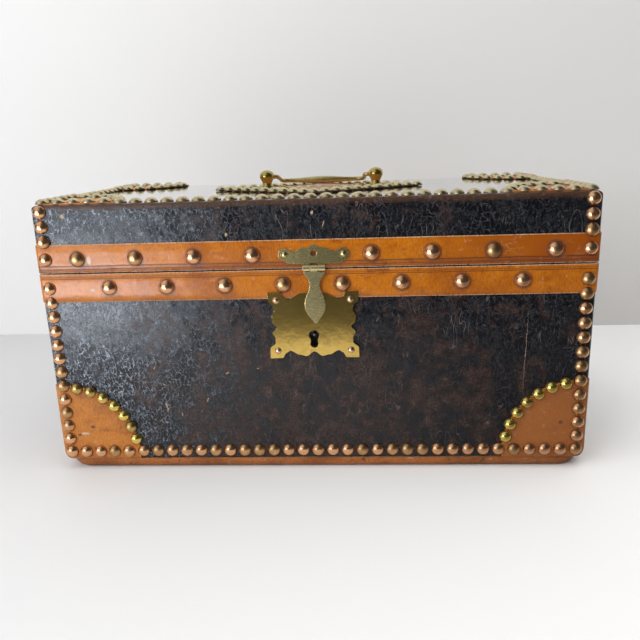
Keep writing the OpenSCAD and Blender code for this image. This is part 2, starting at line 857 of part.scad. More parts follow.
module hinge_case_screws() {
  color(brass) both_x() translate([hinge_x, 0, seam_z]) mirror([0, 0, 1]) hinge_screw_places() hinge_screw();
}

module hinge_lid_screws() {
  color(brass) both_x() translate([hinge_x, 0, seam_z]) hinge_screw_places() hinge_screw();
}

// Boards of the lid
module lid_top_board() {
  color(pine) difference() {
    intersection() {
      lid_core();
      room(board_w, board_d, rail_top, lid_board_top);
    }
    post_holes(lid_top);
    at_posts() translate([0, 0, rail_top - 1]) cylinder(d = nut_d + 2, h = nut_pocket_h + 1);
  }
}

module lid_front_rail() {
  color(pine) intersection() {
    lid_core();
    translate([0, -(board_d - board_t) / 2, 0]) room(board_w, board_t, rail_low, rail_top);
  }
}

module lid_back_rail() {
  color(pine) difference() {
    intersection() {
      lid_core();
      translate([0, (board_d - board_t) / 2, 0]) room(board_w, board_t, rail_low, rail_top);
    }
    hinge_recess();
  }
}

module lid_side_rail(s) {
  color(pine) translate([s * (board_w - board_t) / 2, 0, 0]) room(board_t, room_d, rail_low, rail_top);
}

module lid_left_rail() {
  lid_side_rail(-1);
}

module lid_right_rail() {
  lid_side_rail(1);
}

module lid_leather() {
  color(black) difference() {
    lid_block(box_w, box_d, lid_low, lid_top, edge_r, lid_edge_r, lid_side_r);
    lid_core();
    room(room_w, room_d, 0, rail_top);
    hinge_recess();
    post_holes(lid_top);
  }
}

module lid_wall_lining() {
  color(paper) difference() {
    room(room_w, room_d, lid_low + lining_gap, ceiling_z);
    room(room_w - 2 * lining_t, room_d - 2 * lining_t, 0, lid_top);
  }
}

module lid_ceiling_lining() {
  color(paper) room(room_w, room_d, ceiling_z, rail_top);
}

// Flat tan patch on a corner of the lid's top
module lid_patch(sx, sy) {
  color(tan) intersection() {
    slab(box_w - 2 * lid_side_r, box_d - 2 * lid_edge_r, lid_top, patch_top, patch_corner_r);
    translate([sx * corner_x, sy * corner_y, lid_top - 1]) cylinder(r = patch_reach, h = strap_t + 2);
  }
}

module lid_patch_front_left() {
  lid_patch(-1, -1);
}

module lid_patch_front_right() {
  lid_patch(1, -1);
}

module lid_patch_back_left() {
  lid_patch(-1, 1);
}

module lid_patch_back_right() {
  lid_patch(1, 1);
}

// Tan lozenge under the handle
module handle_patch() {
  x = lozenge_half_w + patch_margin;
  y = lozenge_half_d + patch_margin;
  color(tan) difference() {
    translate([0, 0, lid_top]) linear_extrude(strap_t) polygon([[x, 0], [0, y], [-x, 0], [0, -y]]);
    post_holes(patch_top);
  }
}

// Nails of the lid
module lid_edge_nails() {
  color(copper) {
    both_y() on_front() for (s = [-1, 1]) {
      translate([s * corner_x, lid_strap_nail_z, 0]) edge_nail(strap_t);
      for (z = [lid_top - lid_nail_drop : -lid_nail_pitch : lid_strap_top + 1])
        translate([s * corner_x, z, 0]) edge_nail(z < lid_strap_top + edge_nail_d / 2 ? strap_t : 0);
    }
    translate([0, 0, lid_top]) {
      for (x = spread(-corner_x, corner_x, row_pitch)) let (in_patch = abs(x) > corner_x - patch_reach) {
        translate([x, -corner_y, 0]) edge_nail(in_patch ? strap_t : 0);
        if (in_patch) translate([x, corner_y, 0]) edge_nail(strap_t);
      }
      both_x() for (y = spread(-corner_y, corner_y, row_pitch)) if (abs(y) < corner_y - 1)
        translate([corner_x, y, 0]) edge_nail(abs(y) > corner_y - patch_reach ? strap_t : 0);
    }
  }
}

module lid_patch_nails() {
  side = norm([lozenge_half_w, lozenge_half_d]);
  n = round(side / patch_pitch);
  color(brass) translate([0, 0, lid_top]) {
    both_x() both_y() translate([-corner_x, -corner_y, 0]) patch_arc();
    for (turn = [0, 1]) rotate([0, 0, 180 * turn]) for (i = [0 : n - 1]) {
      translate([lozenge_half_w * (1 - i / n), lozenge_half_d * i / n, 0])
        nail(patch_nail_d, patch_nail_h, strap_t);
      translate([-lozenge_half_w * i / n, lozenge_half_d * (1 - i / n), 0])
        nail(patch_nail_d, patch_nail_h, strap_t);
    }
  }
}

module lid_strap_nails() {
  color(copper) {
    on_front() for (x = strap_places(strap_end_x, 1)) translate([x, lid_strap_nail_z, 0]) strap_nail();
    mirror([0, 1, 0]) on_front() for (x = strap_places(strap_end_x, 0))
      translate([x, lid_strap_nail_z, 0]) strap_nail();
    both_x() on_right() for (y = strap_places(strap_end_y, 0))
      translate([y, lid_strap_nail_z, 0]) strap_nail();
  }
}

// Handle
module at_posts() {
  for (s = [-1, 1]) translate([handle_x + s * post_x, 0, 0]) children();
}

module post_holes(top) {
  at_posts() translate([0, 0, rail_top]) cylinder(d = post_shank_d, h = top - rail_top + 1, $fn = 32);
}

module rose_pin_places() {
  for (s = [-1, 1]) translate([s * rose_half_l, 0, 0]) children();
}

module handle_rose(s) {
  color(old_brass) translate([handle_x + s * post_x, 0, patch_top]) difference() {
    linear_extrude(rose_t) {
      circle(post_foot_r + rose_margin);
      square([2 * rose_half_l, rose_arm_w], center = true);
      rose_pin_places() circle(rose_lobe_r);
    }
    translate([0, 0, -1]) cylinder(d = post_shank_d, h = rose_t + 2, $fn = 32);
    rose_pin_places() translate([0, 0, -1]) cylinder(d = nail_shank_d, h = rose_t + 2, $fn = 24);
  }
}

module handle_rose_left() {
  handle_rose(-1);
}

module handle_rose_right() {
  handle_rose(1);
}

module handle_rose_pins() {
  color(brass) at_posts() translate([0, 0, lid_top]) rose_pin_places()
    nail(rose_pin_d, rose_pin_h, strap_t + rose_t);
}

// Turned post with a ball that holds the bail, and a shank through the lid
module handle_post(s) {
  profile = smooth_line([
    [0, post_foot_r], [0.6, post_foot_r], [0.34 * pivot_rise, post_waist_r],
    [0.5 * pivot_rise, post_waist_r + 0.2], [0.78 * pivot_rise, 0.88 * post_ball_r],
    [pivot_rise, post_ball_r], [pivot_rise + 2.5, 0.91 * post_ball_r],
    [pivot_rise + 4.3, 0.55 * post_ball_r], [pivot_rise + post_cap_h, 0.05 * post_ball_r]
  ]);
  color(brass) difference() {
    translate([handle_x + s * post_x, 0, patch_top + rose_t]) {
      rotate_extrude() polygon(concat([[0, 0]], [for (p = profile) [p[1], p[0]]],
        [[0, pivot_rise + post_cap_h]]));
      translate([0, 0, rail_top + side_gap - patch_top - rose_t])
        cylinder(d = post_shank_d, h = patch_top + rose_t + 1 - rail_top - side_gap, $fn = 32);
    }
    translate([handle_x + s * post_x, 0, pivot_z])
      along_x(bail_arm_d + 2 * run_gap, -2 * post_ball_r, 2 * post_ball_r);
  }
}

module handle_post_left() {
  handle_post(-1);
}

module handle_post_right() {
  handle_post(1);
}

module handle_nuts() {
  color(brass) at_posts() translate([0, 0, rail_top + nut_pocket_h - nut_h]) difference() {
    cylinder(d = nut_d, h = nut_h, $fn = 6);
    translate([0, 0, -1]) cylinder(d = post_shank_d, h = nut_h + 2, $fn = 32);
  }
}

// A quarter bend of the bail
module bail_bend(r) {
  rotate_extrude(angle = 90) translate([r, 0]) circle(d = bail_arm_d, $fn = 32);
}

// Bail folded to the back, with its pins in the posts and a bar that swells
module handle_bail() {
  bar_end = bail_arm_x - bail_corner_r;
  bar_line = eased([[-bar_end, bail_arm_d / 2], [0, bail_bar_d / 2], [bar_end, bail_arm_d / 2]], 10);
  color(old_brass) translate([handle_x, 0, pivot_z]) rotate([-bail_tilt, 0, 0]) {
    both_x() {
      along_x(bail_arm_d, bail_arm_x + bail_elbow_r, post_x + bail_pin_end);
      translate([bail_arm_x + bail_elbow_r, bail_elbow_r, 0]) rotate([0, 0, 180]) bail_bend(bail_elbow_r);
      translate([bail_arm_x, bail_elbow_r, 0]) rotate([-90, 0, 0])
        cylinder(d = bail_arm_d, h = bail_reach - bail_corner_r - bail_elbow_r, $fn = 32);
      translate([bar_end, bail_reach - bail_corner_r, 0]) bail_bend(bail_corner_r);
    }
    translate([0, bail_reach, 0]) rotate([0, 90, 0]) rotate_extrude()
      polygon(concat([[0, -bar_end]], [for (p = bar_line) [p[1], p[0]]],
        [[bail_arm_d / 2, bar_end], [0, bar_end]]));
  }
}

// Hasp leaf on the lid
function leaf_half() = concat(
  eased([for (p = leaf_line) [p[0] * leaf_ear_x, p[1] * leaf_h]], 6),
  [[leaf_ear_x, leaf_ear_up + 0.25 * leaf_ear_r], [leaf_ear_x + 0.45 * leaf_ear_r, leaf_ear_up - 0.87 * leaf_ear_r],
   [leaf_ear_x - 0.62 * leaf_ear_r, 0]]
);

module leaf_pin_places() {
  for (s = [-1, 1]) translate([hasp_x + s * leaf_ear_x, seam_z + leaf_low + leaf_ear_up, 0]) children();
}

module hasp_leaf() {
  knuckle_in = tongue_knuckle_w / 2 + side_gap;
  low_z = seam_z + leaf_low;
  color(old_brass) difference() {
    union() {
      on_front() translate([hasp_x, low_z, strap_t]) linear_extrude(leaf_t) difference() {
        union() {
          polygon(concat(leaf_half(), flipped(leaf_half())));
          for (s = [-1, 1]) translate([s * leaf_ear_x, leaf_ear_up]) circle(leaf_ear_r);
        }
        translate([-knuckle_in, -1]) square([2 * knuckle_in, 1 + leaf_notch_h]);
        translate([0, leaf_hole_up]) circle(d = leaf_hole_d);
      }
      translate([hasp_x, 0, 0]) both_x() {
        translate([knuckle_in, leaf_front, hasp_pin_z])
          cube([hasp_hinge_w / 2 - knuckle_in, leaf_t, low_z - hasp_pin_z + 1]);
        translate([0, hasp_pin_y, hasp_pin_z]) along_x(hasp_knuckle_d, knuckle_in, hasp_hinge_w / 2);
      }
    }
    translate([hasp_x, hasp_pin_y, hasp_pin_z]) along_x(hasp_pin_d, -hasp_hinge_w, hasp_hinge_w);
    on_front() leaf_pin_places() cylinder(d = nail_shank_d, h = strap_t + leaf_t + 1, $fn = 24);
  }
}

module hasp_leaf_pins() {
  color(brass) on_front() leaf_pin_places() nail(leaf_pin_d, leaf_pin_h, strap_t + leaf_t);
}

module hasp_hinge_pin() {
  color(old_brass) translate([hasp_x, hasp_pin_y, hasp_pin_z])
    along_x(hasp_pin_d, -hasp_hinge_w / 2, hasp_hinge_w / 2);
}

// Swinging tongue of the hasp
function tongue_half() = let (l = tongue_l, top = tongue_top_w / 2, waist = tongue_waist_w / 2,
                              belly = tongue_belly_w / 2)
  [for (p = smooth_line([
      [tongue_top, top], [tongue_top + 1, top], [0.13 * l, 0.88 * top], [0.21 * l, 1.25 * waist],
      [0.31 * l, waist], [0.4 * l, 0.58 * belly], [0.5 * l, 0.82 * belly], [0.6 * l, 0.98 * belly],
      [0.67 * l, belly], [0.77 * l, 0.92 * belly], [0.86 * l, 0.65 * belly], [0.925 * l, 0.37 * belly],
      [0.965 * l, 0.22 * belly], [l, 0.09 * belly]
    ])) [p[1], -p[0]]];

module hasp_tongue() {
  color(old_brass) difference() {
    union() {
      translate([hasp_x, tongue_back, hasp_pin_z]) rotate([90, 0, 0]) linear_extrude(tongue_t)
        polygon(concat(tongue_half(), flipped(tongue_half())));
      translate([hasp_x - tongue_knuckle_w / 2, tongue_back - tongue_t, hasp_pin_z - tongue_top - 1])
        cube([tongue_knuckle_w, tongue_t, tongue_top + 1]);
      translate([hasp_x, hasp_pin_y, hasp_pin_z])
        along_x(hasp_knuckle_d, -tongue_knuckle_w / 2, tongue_knuckle_w / 2);
    }
    translate([hasp_x, hasp_pin_y, hasp_pin_z])
      along_x(hasp_pin_d + 2 * run_gap, -hasp_hinge_w, hasp_hinge_w);
  }
}

// Staple that enters the lock, with its eye for the bolt
module hasp_staple() {
  h = staple_hole_h + 2 * staple_rim;
  color(brass) difference() {
    translate([hasp_x - staple_t / 2, tongue_back, staple_z - h / 2])
      cube([staple_t, staple_end_y - tongue_back, h]);
    translate([hasp_x - staple_t, bolt_y - staple_hole_l / 2, staple_z - staple_hole_h / 2])
      cube([2 * staple_t, staple_hole_l, staple_hole_h]);
  }
}

bottom_board();
base_edging();
case_front_board();
case_back_board();
case_left_board();
case_right_board();
case_leather();
case_strap();
case_patch_front_left();
case_patch_front_right();
case_patch_back_left();
case_patch_back_right();
case_edge_nails();
case_patch_nails();
case_strap_nails();
case_wall_lining();
case_floor_lining();
lock_plate();
lock_plate_pins();
lock_case();
lock_cap();
lock_screws();
lock_drill_pin();
lock_bolt();
hinge_case_leaf_left();
hinge_case_leaf_right();
hinge_lid_leaf_left();
hinge_lid_leaf_right();
hinge_pins();
hinge_case_screws();
hinge_lid_screws();
lid_top_board();
lid_front_rail();
lid_back_rail();
lid_left_rail();
lid_right_rail();
lid_leather();
lid_strap();
lid_patch_front_left();
lid_patch_front_right();
lid_patch_back_left();
lid_patch_back_right();
handle_patch();
lid_edge_nails();
lid_patch_nails();
lid_strap_nails();
lid_wall_lining();
lid_ceiling_lining();
handle_rose_left();
handle_rose_right();
handle_rose_pins();
handle_post_left();
handle_post_right();
handle_nuts();
handle_bail();
hasp_leaf();
hasp_leaf_pins();
hasp_hinge_pin();
hasp_tongue();
hasp_staple();
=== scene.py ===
"""Looks of the leather covered document box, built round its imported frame."""
import json
import logging
import math
from dataclasses import dataclass, field
from enum import Enum
from typing import Sequence

import bmesh
import bpy
from mathutils import Matrix, Vector, noise


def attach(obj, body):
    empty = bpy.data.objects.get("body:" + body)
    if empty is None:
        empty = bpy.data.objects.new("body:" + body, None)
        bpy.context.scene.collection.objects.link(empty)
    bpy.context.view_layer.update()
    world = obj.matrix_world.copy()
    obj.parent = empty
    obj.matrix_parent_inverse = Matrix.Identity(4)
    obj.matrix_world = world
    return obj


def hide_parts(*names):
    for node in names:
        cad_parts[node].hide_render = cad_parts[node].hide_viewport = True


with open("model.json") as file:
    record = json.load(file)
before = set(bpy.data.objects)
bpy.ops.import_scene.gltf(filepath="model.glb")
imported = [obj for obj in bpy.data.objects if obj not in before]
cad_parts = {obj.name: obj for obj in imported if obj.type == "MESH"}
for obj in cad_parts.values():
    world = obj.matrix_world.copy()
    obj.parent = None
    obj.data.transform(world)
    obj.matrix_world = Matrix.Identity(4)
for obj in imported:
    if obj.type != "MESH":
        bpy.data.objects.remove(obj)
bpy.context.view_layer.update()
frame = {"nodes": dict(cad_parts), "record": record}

LOG = logging.getLogger("document_box")
MM = 0.001
# Angle in degrees below which neighbouring faces become one
FLAT_ANGLE = 0.3
# Angle in degrees above which an edge is eased
SHARP_ANGLE = 40.0
# Seeds of the first kind of nails and of the leather's waves
FIRST_SEED = 11
WAVE_SEED = 5

Colour = tuple[float, float, float, float]
Material = bpy.types.Material
Piece = bpy.types.Object


def shade(red: float, green: float, blue: float) -> Colour:
    """Return an opaque colour from its linear parts."""
    return (red, green, blue, 1.0)


# Node graphs


class Wire:
    """An output socket whose sums and products add Math nodes."""

    def __init__(self, graph: "Graph", socket: bpy.types.NodeSocket) -> None:
        """Keep the graph and the socket."""
        self.graph = graph
        self.socket = socket

    def _maths(self, operation: str, first: "Wire | float", second: "Wire | float" = 0.0) -> "Wire":
        """Return the result of a Math node on two values or wires."""
        return self.graph.add("ShaderNodeMath", {"operation": operation}, {0: first, 1: second})

    def __add__(self, other: "Wire | float") -> "Wire":
        """Return the sum."""
        return self._maths("ADD", self, other)

    def __sub__(self, other: "Wire | float") -> "Wire":
        """Return the difference."""
        return self._maths("SUBTRACT", self, other)

    def __rsub__(self, other: float) -> "Wire":
        """Return the difference from a number."""
        return self._maths("SUBTRACT", other, self)

    def __mul__(self, other: "Wire | float") -> "Wire":
        """Return the product."""
        return self._maths("MULTIPLY", self, other)

    def __truediv__(self, other: "Wire | float") -> "Wire":
        """Return the quotient."""
        return self._maths("DIVIDE", self, other)

    def __pow__(self, other: float) -> "Wire":
        """Return the power."""
        return self._maths("POWER", self, other)

    def __abs__(self) -> "Wire":
        """Return the value without its sign."""
        return self._maths("ABSOLUTE", self)

    __radd__ = __add__
    __rmul__ = __mul__

    def most(self, other: "Wire | float") -> "Wire":
        """Return the larger of the two."""
        return self._maths("MAXIMUM", self, other)

    def sine(self) -> "Wire":
        """Return the sine."""
        return self._maths("SINE", self)

    def cosine(self) -> "Wire":
        """Return the cosine."""
        return self._maths("COSINE", self)

    def step(self, low: float, high: float, start: float = 0.0, end: float = 1.0) -> "Wire":
        """Return the wire that eases from start, where this one is at low, to end, where it is at high."""
        inputs = {0: self, 1: low, 2: high, 3: start, 4: end}
        return self.graph.add("ShaderNodeMapRange", {"interpolation_type": "SMOOTHSTEP"}, inputs)


class Graph:
    """Adds nodes to a node tree."""

    def __init__(self, tree: bpy.types.NodeTree) -> None:
        """Keep the tree."""
        self.tree = tree

    def add(
        self, kind: str, settings: dict | None = None, inputs: dict | None = None, out: int | str = 0
    ) -> Wire:
        """Add a node.

        Args:
            kind: The node's type.
            settings: Its own settings.
            inputs: Values or wires by socket name or place.
            out: The output to return.

        Returns:
            The wire of that output.
        """
        node = self.tree.nodes.new(kind)
        for key, value in (settings or {}).items():
            setattr(node, key, value)
        for key, value in (inputs or {}).items():
            if isinstance(value, Wire):
                self.tree.links.new(value.socket, node.inputs[key])
            else:
                node.inputs[key].default_value = value
        return Wire(self, node.outputs[out] if node.outputs else None)

    def axes(self, vector: Wire) -> tuple[Wire, Wire, Wire]:
        """Take a vector apart.

        Args:
            vector: The vector.

        Returns:
            Its parts along X, Y and Z.
        """
        first = self.add("ShaderNodeSeparateXYZ", inputs={0: vector})
        outputs = first.socket.node.outputs
        return first, Wire(self, outputs[1]), Wire(self, outputs[2])


class Pattern(Graph):
    """Node graph of one material, with the patterns that the finishes share."""

    def __init__(self, name: str) -> None:
        """Start an empty material.

        Args:
            name: Its name.
        """
        self.material = bpy.data.materials.new(name)
        self.material.use_nodes = True
        super().__init__(self.material.node_tree)
        self.tree.nodes.clear()
        place = self.add("ShaderNodeTexCoord", out="Object")
        self.place = self.scaled(place, (1000.0, 1000.0, 1000.0))

    def scaled(self, vector: Wire, factors: tuple[float, float, float]) -> Wire:
        """Return a vector scaled along each axis."""
        return self.add("ShaderNodeVectorMath", {"operation": "MULTIPLY"}, {0: vector, 1: factors})

    def drawn(self, x: float, y: float, z: float) -> Wire:
        """Return the place scaled along each axis, which draws a pattern out where it is small."""
        return self.scaled(self.place, (x, y, z))

    def moved(self, vector: Wire, by: Wire, amount: float) -> Wire:
        """Push a vector by a colour centred on grey.

        Args:
            vector: The vector to move.
            by: A colour of a noise.
            amount: The push for a full step of the colour.

        Returns:
            The moved vector.
        """
        centred = self.add("ShaderNodeVectorMath", {"operation": "SUBTRACT"}, {0: by, 1: (0.5, 0.5, 0.5)})
        push = self.scaled(centred, (amount, amount, amount))
        return self.add("ShaderNodeVectorMath", {"operation": "ADD"}, {0: vector, 1: push})

    def clouds(
        self, vector: Wire, size: float, detail: float = 3.0, rough: float = 0.55, colour: bool = False
    ) -> Wire:
        """Return soft noise about 0.5, with blotches of a size in millimetres, or its colour."""
        inputs = {"Vector": vector, "Scale": 1.0 / size, "Detail": detail, "Roughness": rough}
        return self.add("ShaderNodeTexNoise", {"noise_dimensions": "3D"}, inputs, "Color" if colour else 0)

    def cells(self, vector: Wire, size: float) -> Wire:
        """Return the distance to the edge of irregular cells of a size in millimetres, in cells."""
        inputs = {"Vector": vector, "Scale": 1.0 / size}
        return self.add("ShaderNodeTexVoronoi", {"feature": "DISTANCE_TO_EDGE"}, inputs, "Distance")

    def hairs(self, vector: Wire, size: float, width: float) -> Wire:
        """Return the mask of thin lines that wind over a size in millimetres, wide in shares of the noise."""
        level = self.clouds(vector, size, 2.0, 0.5)
        return abs(level - 0.5).step(0.0, width, 1.0, 0.0)

    def mix(self, share: Wire | float, first: Wire | Colour, second: Wire | Colour) -> Wire:
        """Return the mix of two colours, with a share of the second."""
        return self.add("ShaderNodeMix", {"data_type": "RGBA"}, {0: share, 6: first, 7: second}, 2)

    def coats(self, colour: Wire | Colour, *coats: tuple[Wire | float, Wire | Colour]) -> Wire:
        """Lay coats of colour over each other.

        Args:
            colour: The colour under them.
            *coats: The share and the colour of each coat, from the lowest up.

        Returns:
            The finished colour.
        """
        for share, coat in coats:
            colour = self.mix(share, colour, coat)
        return colour

    def bump(self, height: Wire, depth: float, strength: float = 1.0, below: Wire | None = None) -> Wire:
        """Turn a height into a normal.

        Args:
            height: Height from 0 to 1.
            depth: Depth of a full step, in millimetres.
            strength: Strength of the bump.
            below: Normal of a coarser bump under it.

        Returns:
            The bent normal.
        """
        inputs = {"Height": height, "Distance": depth * MM, "Strength": strength}
        if below is not None:
            inputs["Normal"] = below
        return self.add("ShaderNodeBump", inputs=inputs)

    def surface(self, fixed: dict, **varying: Wire | Colour | float) -> Material:
        """Close the material with its shader.

        Args:
            fixed: Values of the shader's own sockets.
            **varying: Wires or values, by socket name with underscores for spaces.

        Returns:
            The material.
        """
        inputs = dict(fixed)
        inputs.update({key.replace("_", " "): value for key, value in varying.items()})
        shader = self.add("ShaderNodeBsdfPrincipled", inputs=inputs)
        self.add("ShaderNodeOutputMaterial", inputs={"Surface": shader})
        return self.material


# Finishes


class Slot(Enum):
    """The record's material slots."""

    BLACK_LEATHER = "black_leather"
    TAN_LEATHER = "tan_leather"
    PINE = "pine"
    PAPER = "lining_paper"
    COPPER_NAILS = "copper_nails"
    BRASS_NAILS = "brass_nails"
    OLD_BRASS = "old_brass"
    BRASS_FITTINGS = "brass_fittings"
    IRON = "iron"


@dataclass(frozen=True)
class Chip:
    """A chip, scratch or spot on the front, with its place and half sizes in millimetres."""

    x: float
    z: float
    wide: float
    high: float
    lean: float = 0.0

    def reach(self, across: Wire, up: Wire) -> Wire:
        """Return the squared distance from its middle in its own half sizes, from a place."""
        return (across * (1.0 / self.wide)) ** 2.0 + (up * (1.0 / self.high)) ** 2.0


@dataclass(frozen=True)
class BlackLeather:
    """Crackled black leather, worn to brown in places and chipped, with painted glints on its cracks towards
    the left.
    """

    front_y: float
    lid_top: float
    black: Colour = shade(0.0034, 0.0038, 0.0062)
    crackle: Colour = shade(0.024, 0.024, 0.029)
    # Pale blue-white of the crack lines at the left: a painted glint that stands in for the window's
    # reflection.
    painted_glint: Colour = shade(0.68, 0.77, 0.92)
    brown: Colour = shade(0.020, 0.0088, 0.0062)
    russet: Colour = shade(0.066, 0.033, 0.023)
    rubbed: Colour = shade(0.060, 0.026, 0.011)
    scratch: Colour = shade(0.19, 0.14, 0.12)
    fleck: Colour = shade(0.10, 0.055, 0.042)
    pale: Colour = shade(0.50, 0.33, 0.21)
    cell: float = 2.9
    chips: tuple[Chip, ...] = (
        Chip(-104.5, 62.8, 1.4, 0.45, 0.35),
        Chip(-100.0, 64.6, 1.1, 0.4, 0.35),
        Chip(-96.0, 66.4, 1.3, 0.4, 0.3),
        Chip(-103.8, 46.5, 0.5, 4.2, -0.22),
        Chip(-93.5, 40.8, 0.4, 2.0, -0.2),
        Chip(-60.0, 70.6, 1.6, 0.55, -0.4),
        Chip(-39.0, 73.5, 0.9, 0.4, 0.3),
        Chip(-75.0, 51.0, 0.4, 2.2, 0.4),
        Chip(-110.0, 75.0, 0.5, 1.6, 0.3),
        Chip(-54.6, 164.5, 0.9, 1.2, 0.2),
        Chip(1.0, 177.0, 1.2, 1.5, 0.3),
        Chip(8.0, 170.0, 0.4, 2.4, 0.3),
        Chip(-160.5, 178.5, 2.2, 1.6, 0.5),
        Chip(138.5, 82.0, 0.13, 30.0, 0.02),
    )

    def chip_mask(self, pattern: Pattern) -> Wire:
        """Mark the chips on the front face.

        Args:
            pattern: The material's pattern.

        Returns:
            Their mask.
        """
        ragged = pattern.moved(pattern.place, pattern.clouds(pattern.place, 1.6, 3.0, 0.7, True), 2.2)
        x, y, z = pattern.axes(ragged)
        total: Wire | None = None
        for chip in self.chips:
            across = (x - chip.x) + (z - chip.z) * -chip.lean
            along = (z - chip.z) + (x - chip.x) * chip.lean
            one = chip.reach(across, along).step(0.35, 1.1, 1.0, 0.0)
            total = one if total is None else total.most(one)
        return total * y.step(self.front_y + 1.5, self.front_y + 3.0, 1.0, 0.0)

    def build(self, name: str) -> Material:
        """Build the material.

        Args:
            name: The material's name.

        Returns:
            The material.
        """
        p = Pattern(name)
        x, y, z = p.axes(p.place)
        top = z.step(self.lid_top - 0.5, self.lid_top - 0.25)
        upright = p.drawn(1.0, 1.0, 0.62)
        warped = p.moved(upright, p.clouds(p.place, 4.0, 3.0, 0.6, True), 4.6)
        coarse = p.cells(warped, self.cell).step(0.0, 0.075, 1.0, 0.0)
        fine = p.cells(warped, self.cell * 0.45).step(0.0, 0.10, 1.0, 0.0)
        where = p.clouds(p.place, 13.0, 3.0, 0.6)
        broken = p.clouds(upright, 2.6, 3.0, 0.7).step(0.40, 0.54)
        crack = (coarse * where.step(0.38, 0.50)).most(fine * where.step(0.56, 0.44) * 0.7) * broken
        streak = p.clouds(p.drawn(1.0, 1.0, 0.6), 24.0, 5.0, 0.62)
        blotch = p.clouds(p.place, 9.0, 5.0, 0.68)
        # Shifts the brown wear by place: fewer brown patches towards the right and on the lid's upper band
        # darken those parts, which is partly painted shade.
        side = x.step(-150.0, -50.0, -0.07, 0.035) + z.step(95.0, 60.0, 0.0, 0.03)
        side = side + z.step(150.0, 165.0, 0.0, -0.045) + x.step(40.0, 150.0, 0.0, -0.055)
        # Share of painted glint on the cracks: strongest at the far left of the front, fading to the right,
        # the ends and the bottom.
        glint_share = (x + (blotch - 0.5) * 130.0).step(-20.0, -185.0) * (1.0 - top)
        glint_share = glint_share * y.step(self.front_y + 2.0, self.front_y + 40.0, 1.0, 0.3)
        glint_share = glint_share * z.step(20.0, 90.0, 0.65, 1.0)
        worn = (streak * 0.55 + blotch * 0.45 + side).step(0.48, 0.60)
        grain = p.clouds(p.place, 0.8, 2.0, 0.7)
        band = p.clouds(p.drawn(0.3, 1.0, 1.0), 5.0, 4.0, 0.65)
        edge = (z + (band - 0.5) * 5.0).step(self.lid_top - 5.0, self.lid_top - 2.0)
        edge = edge * y.step(self.front_y + 2.5, self.front_y + 4.5, 1.0, 0.0)
        hair = p.hairs(p.drawn(1.0, 1.0, 0.3), 7.0, 0.010)
        hair = hair * p.clouds(p.place, 15.0).step(0.5, 0.62)
        level_hair = p.hairs(p.drawn(0.35, 1.0, 1.0), 10.0, 0.007)
        hair = hair.most(level_hair * where.step(0.55, 0.65) * 0.7)
        chip = self.chip_mask(p)
        colour = p.coats(
            p.mix(worn * 0.9, self.black, self.brown),
            ((blotch - 0.48).most(0.0) * worn * 2.6, self.russet),
            # Crack lines, with painted glints on them towards the left.
            (crack * (0.9 - worn * 0.45), p.mix(glint_share, self.crackle, self.painted_glint)),
            (edge * 0.9, self.rubbed),
            (hair * 0.5, self.scratch),
            ((grain - 0.52).most(0.0) * worn * 1.6, self.fleck),
            (chip * 0.9, self.pale),
        )
        rough = 0.15 + worn * 0.10 + grain * 0.05 + chip * 0.3 + edge * 0.08 - top * 0.08
        height = crack * 1.0 + grain * 0.10 + p.clouds(p.place, 7.0, 2.0) * 0.6 - chip * 0.9 - hair * 0.3
        normal = p.bump(p.clouds(p.place, 20.0, 2.0) * (1.0 - top), 0.8, 0.7)
        normal = p.bump(height * (1.0 - top * 0.98), 0.26, 1.0, normal)
        return p.surface(
            {"IOR": 1.5, "Specular IOR Level": 0.45, "Coat Roughness": 0.06},
            Base_Color=colour,
            Roughness=rough,
            Normal=normal,
            Coat_Weight=top * 0.95,
        )


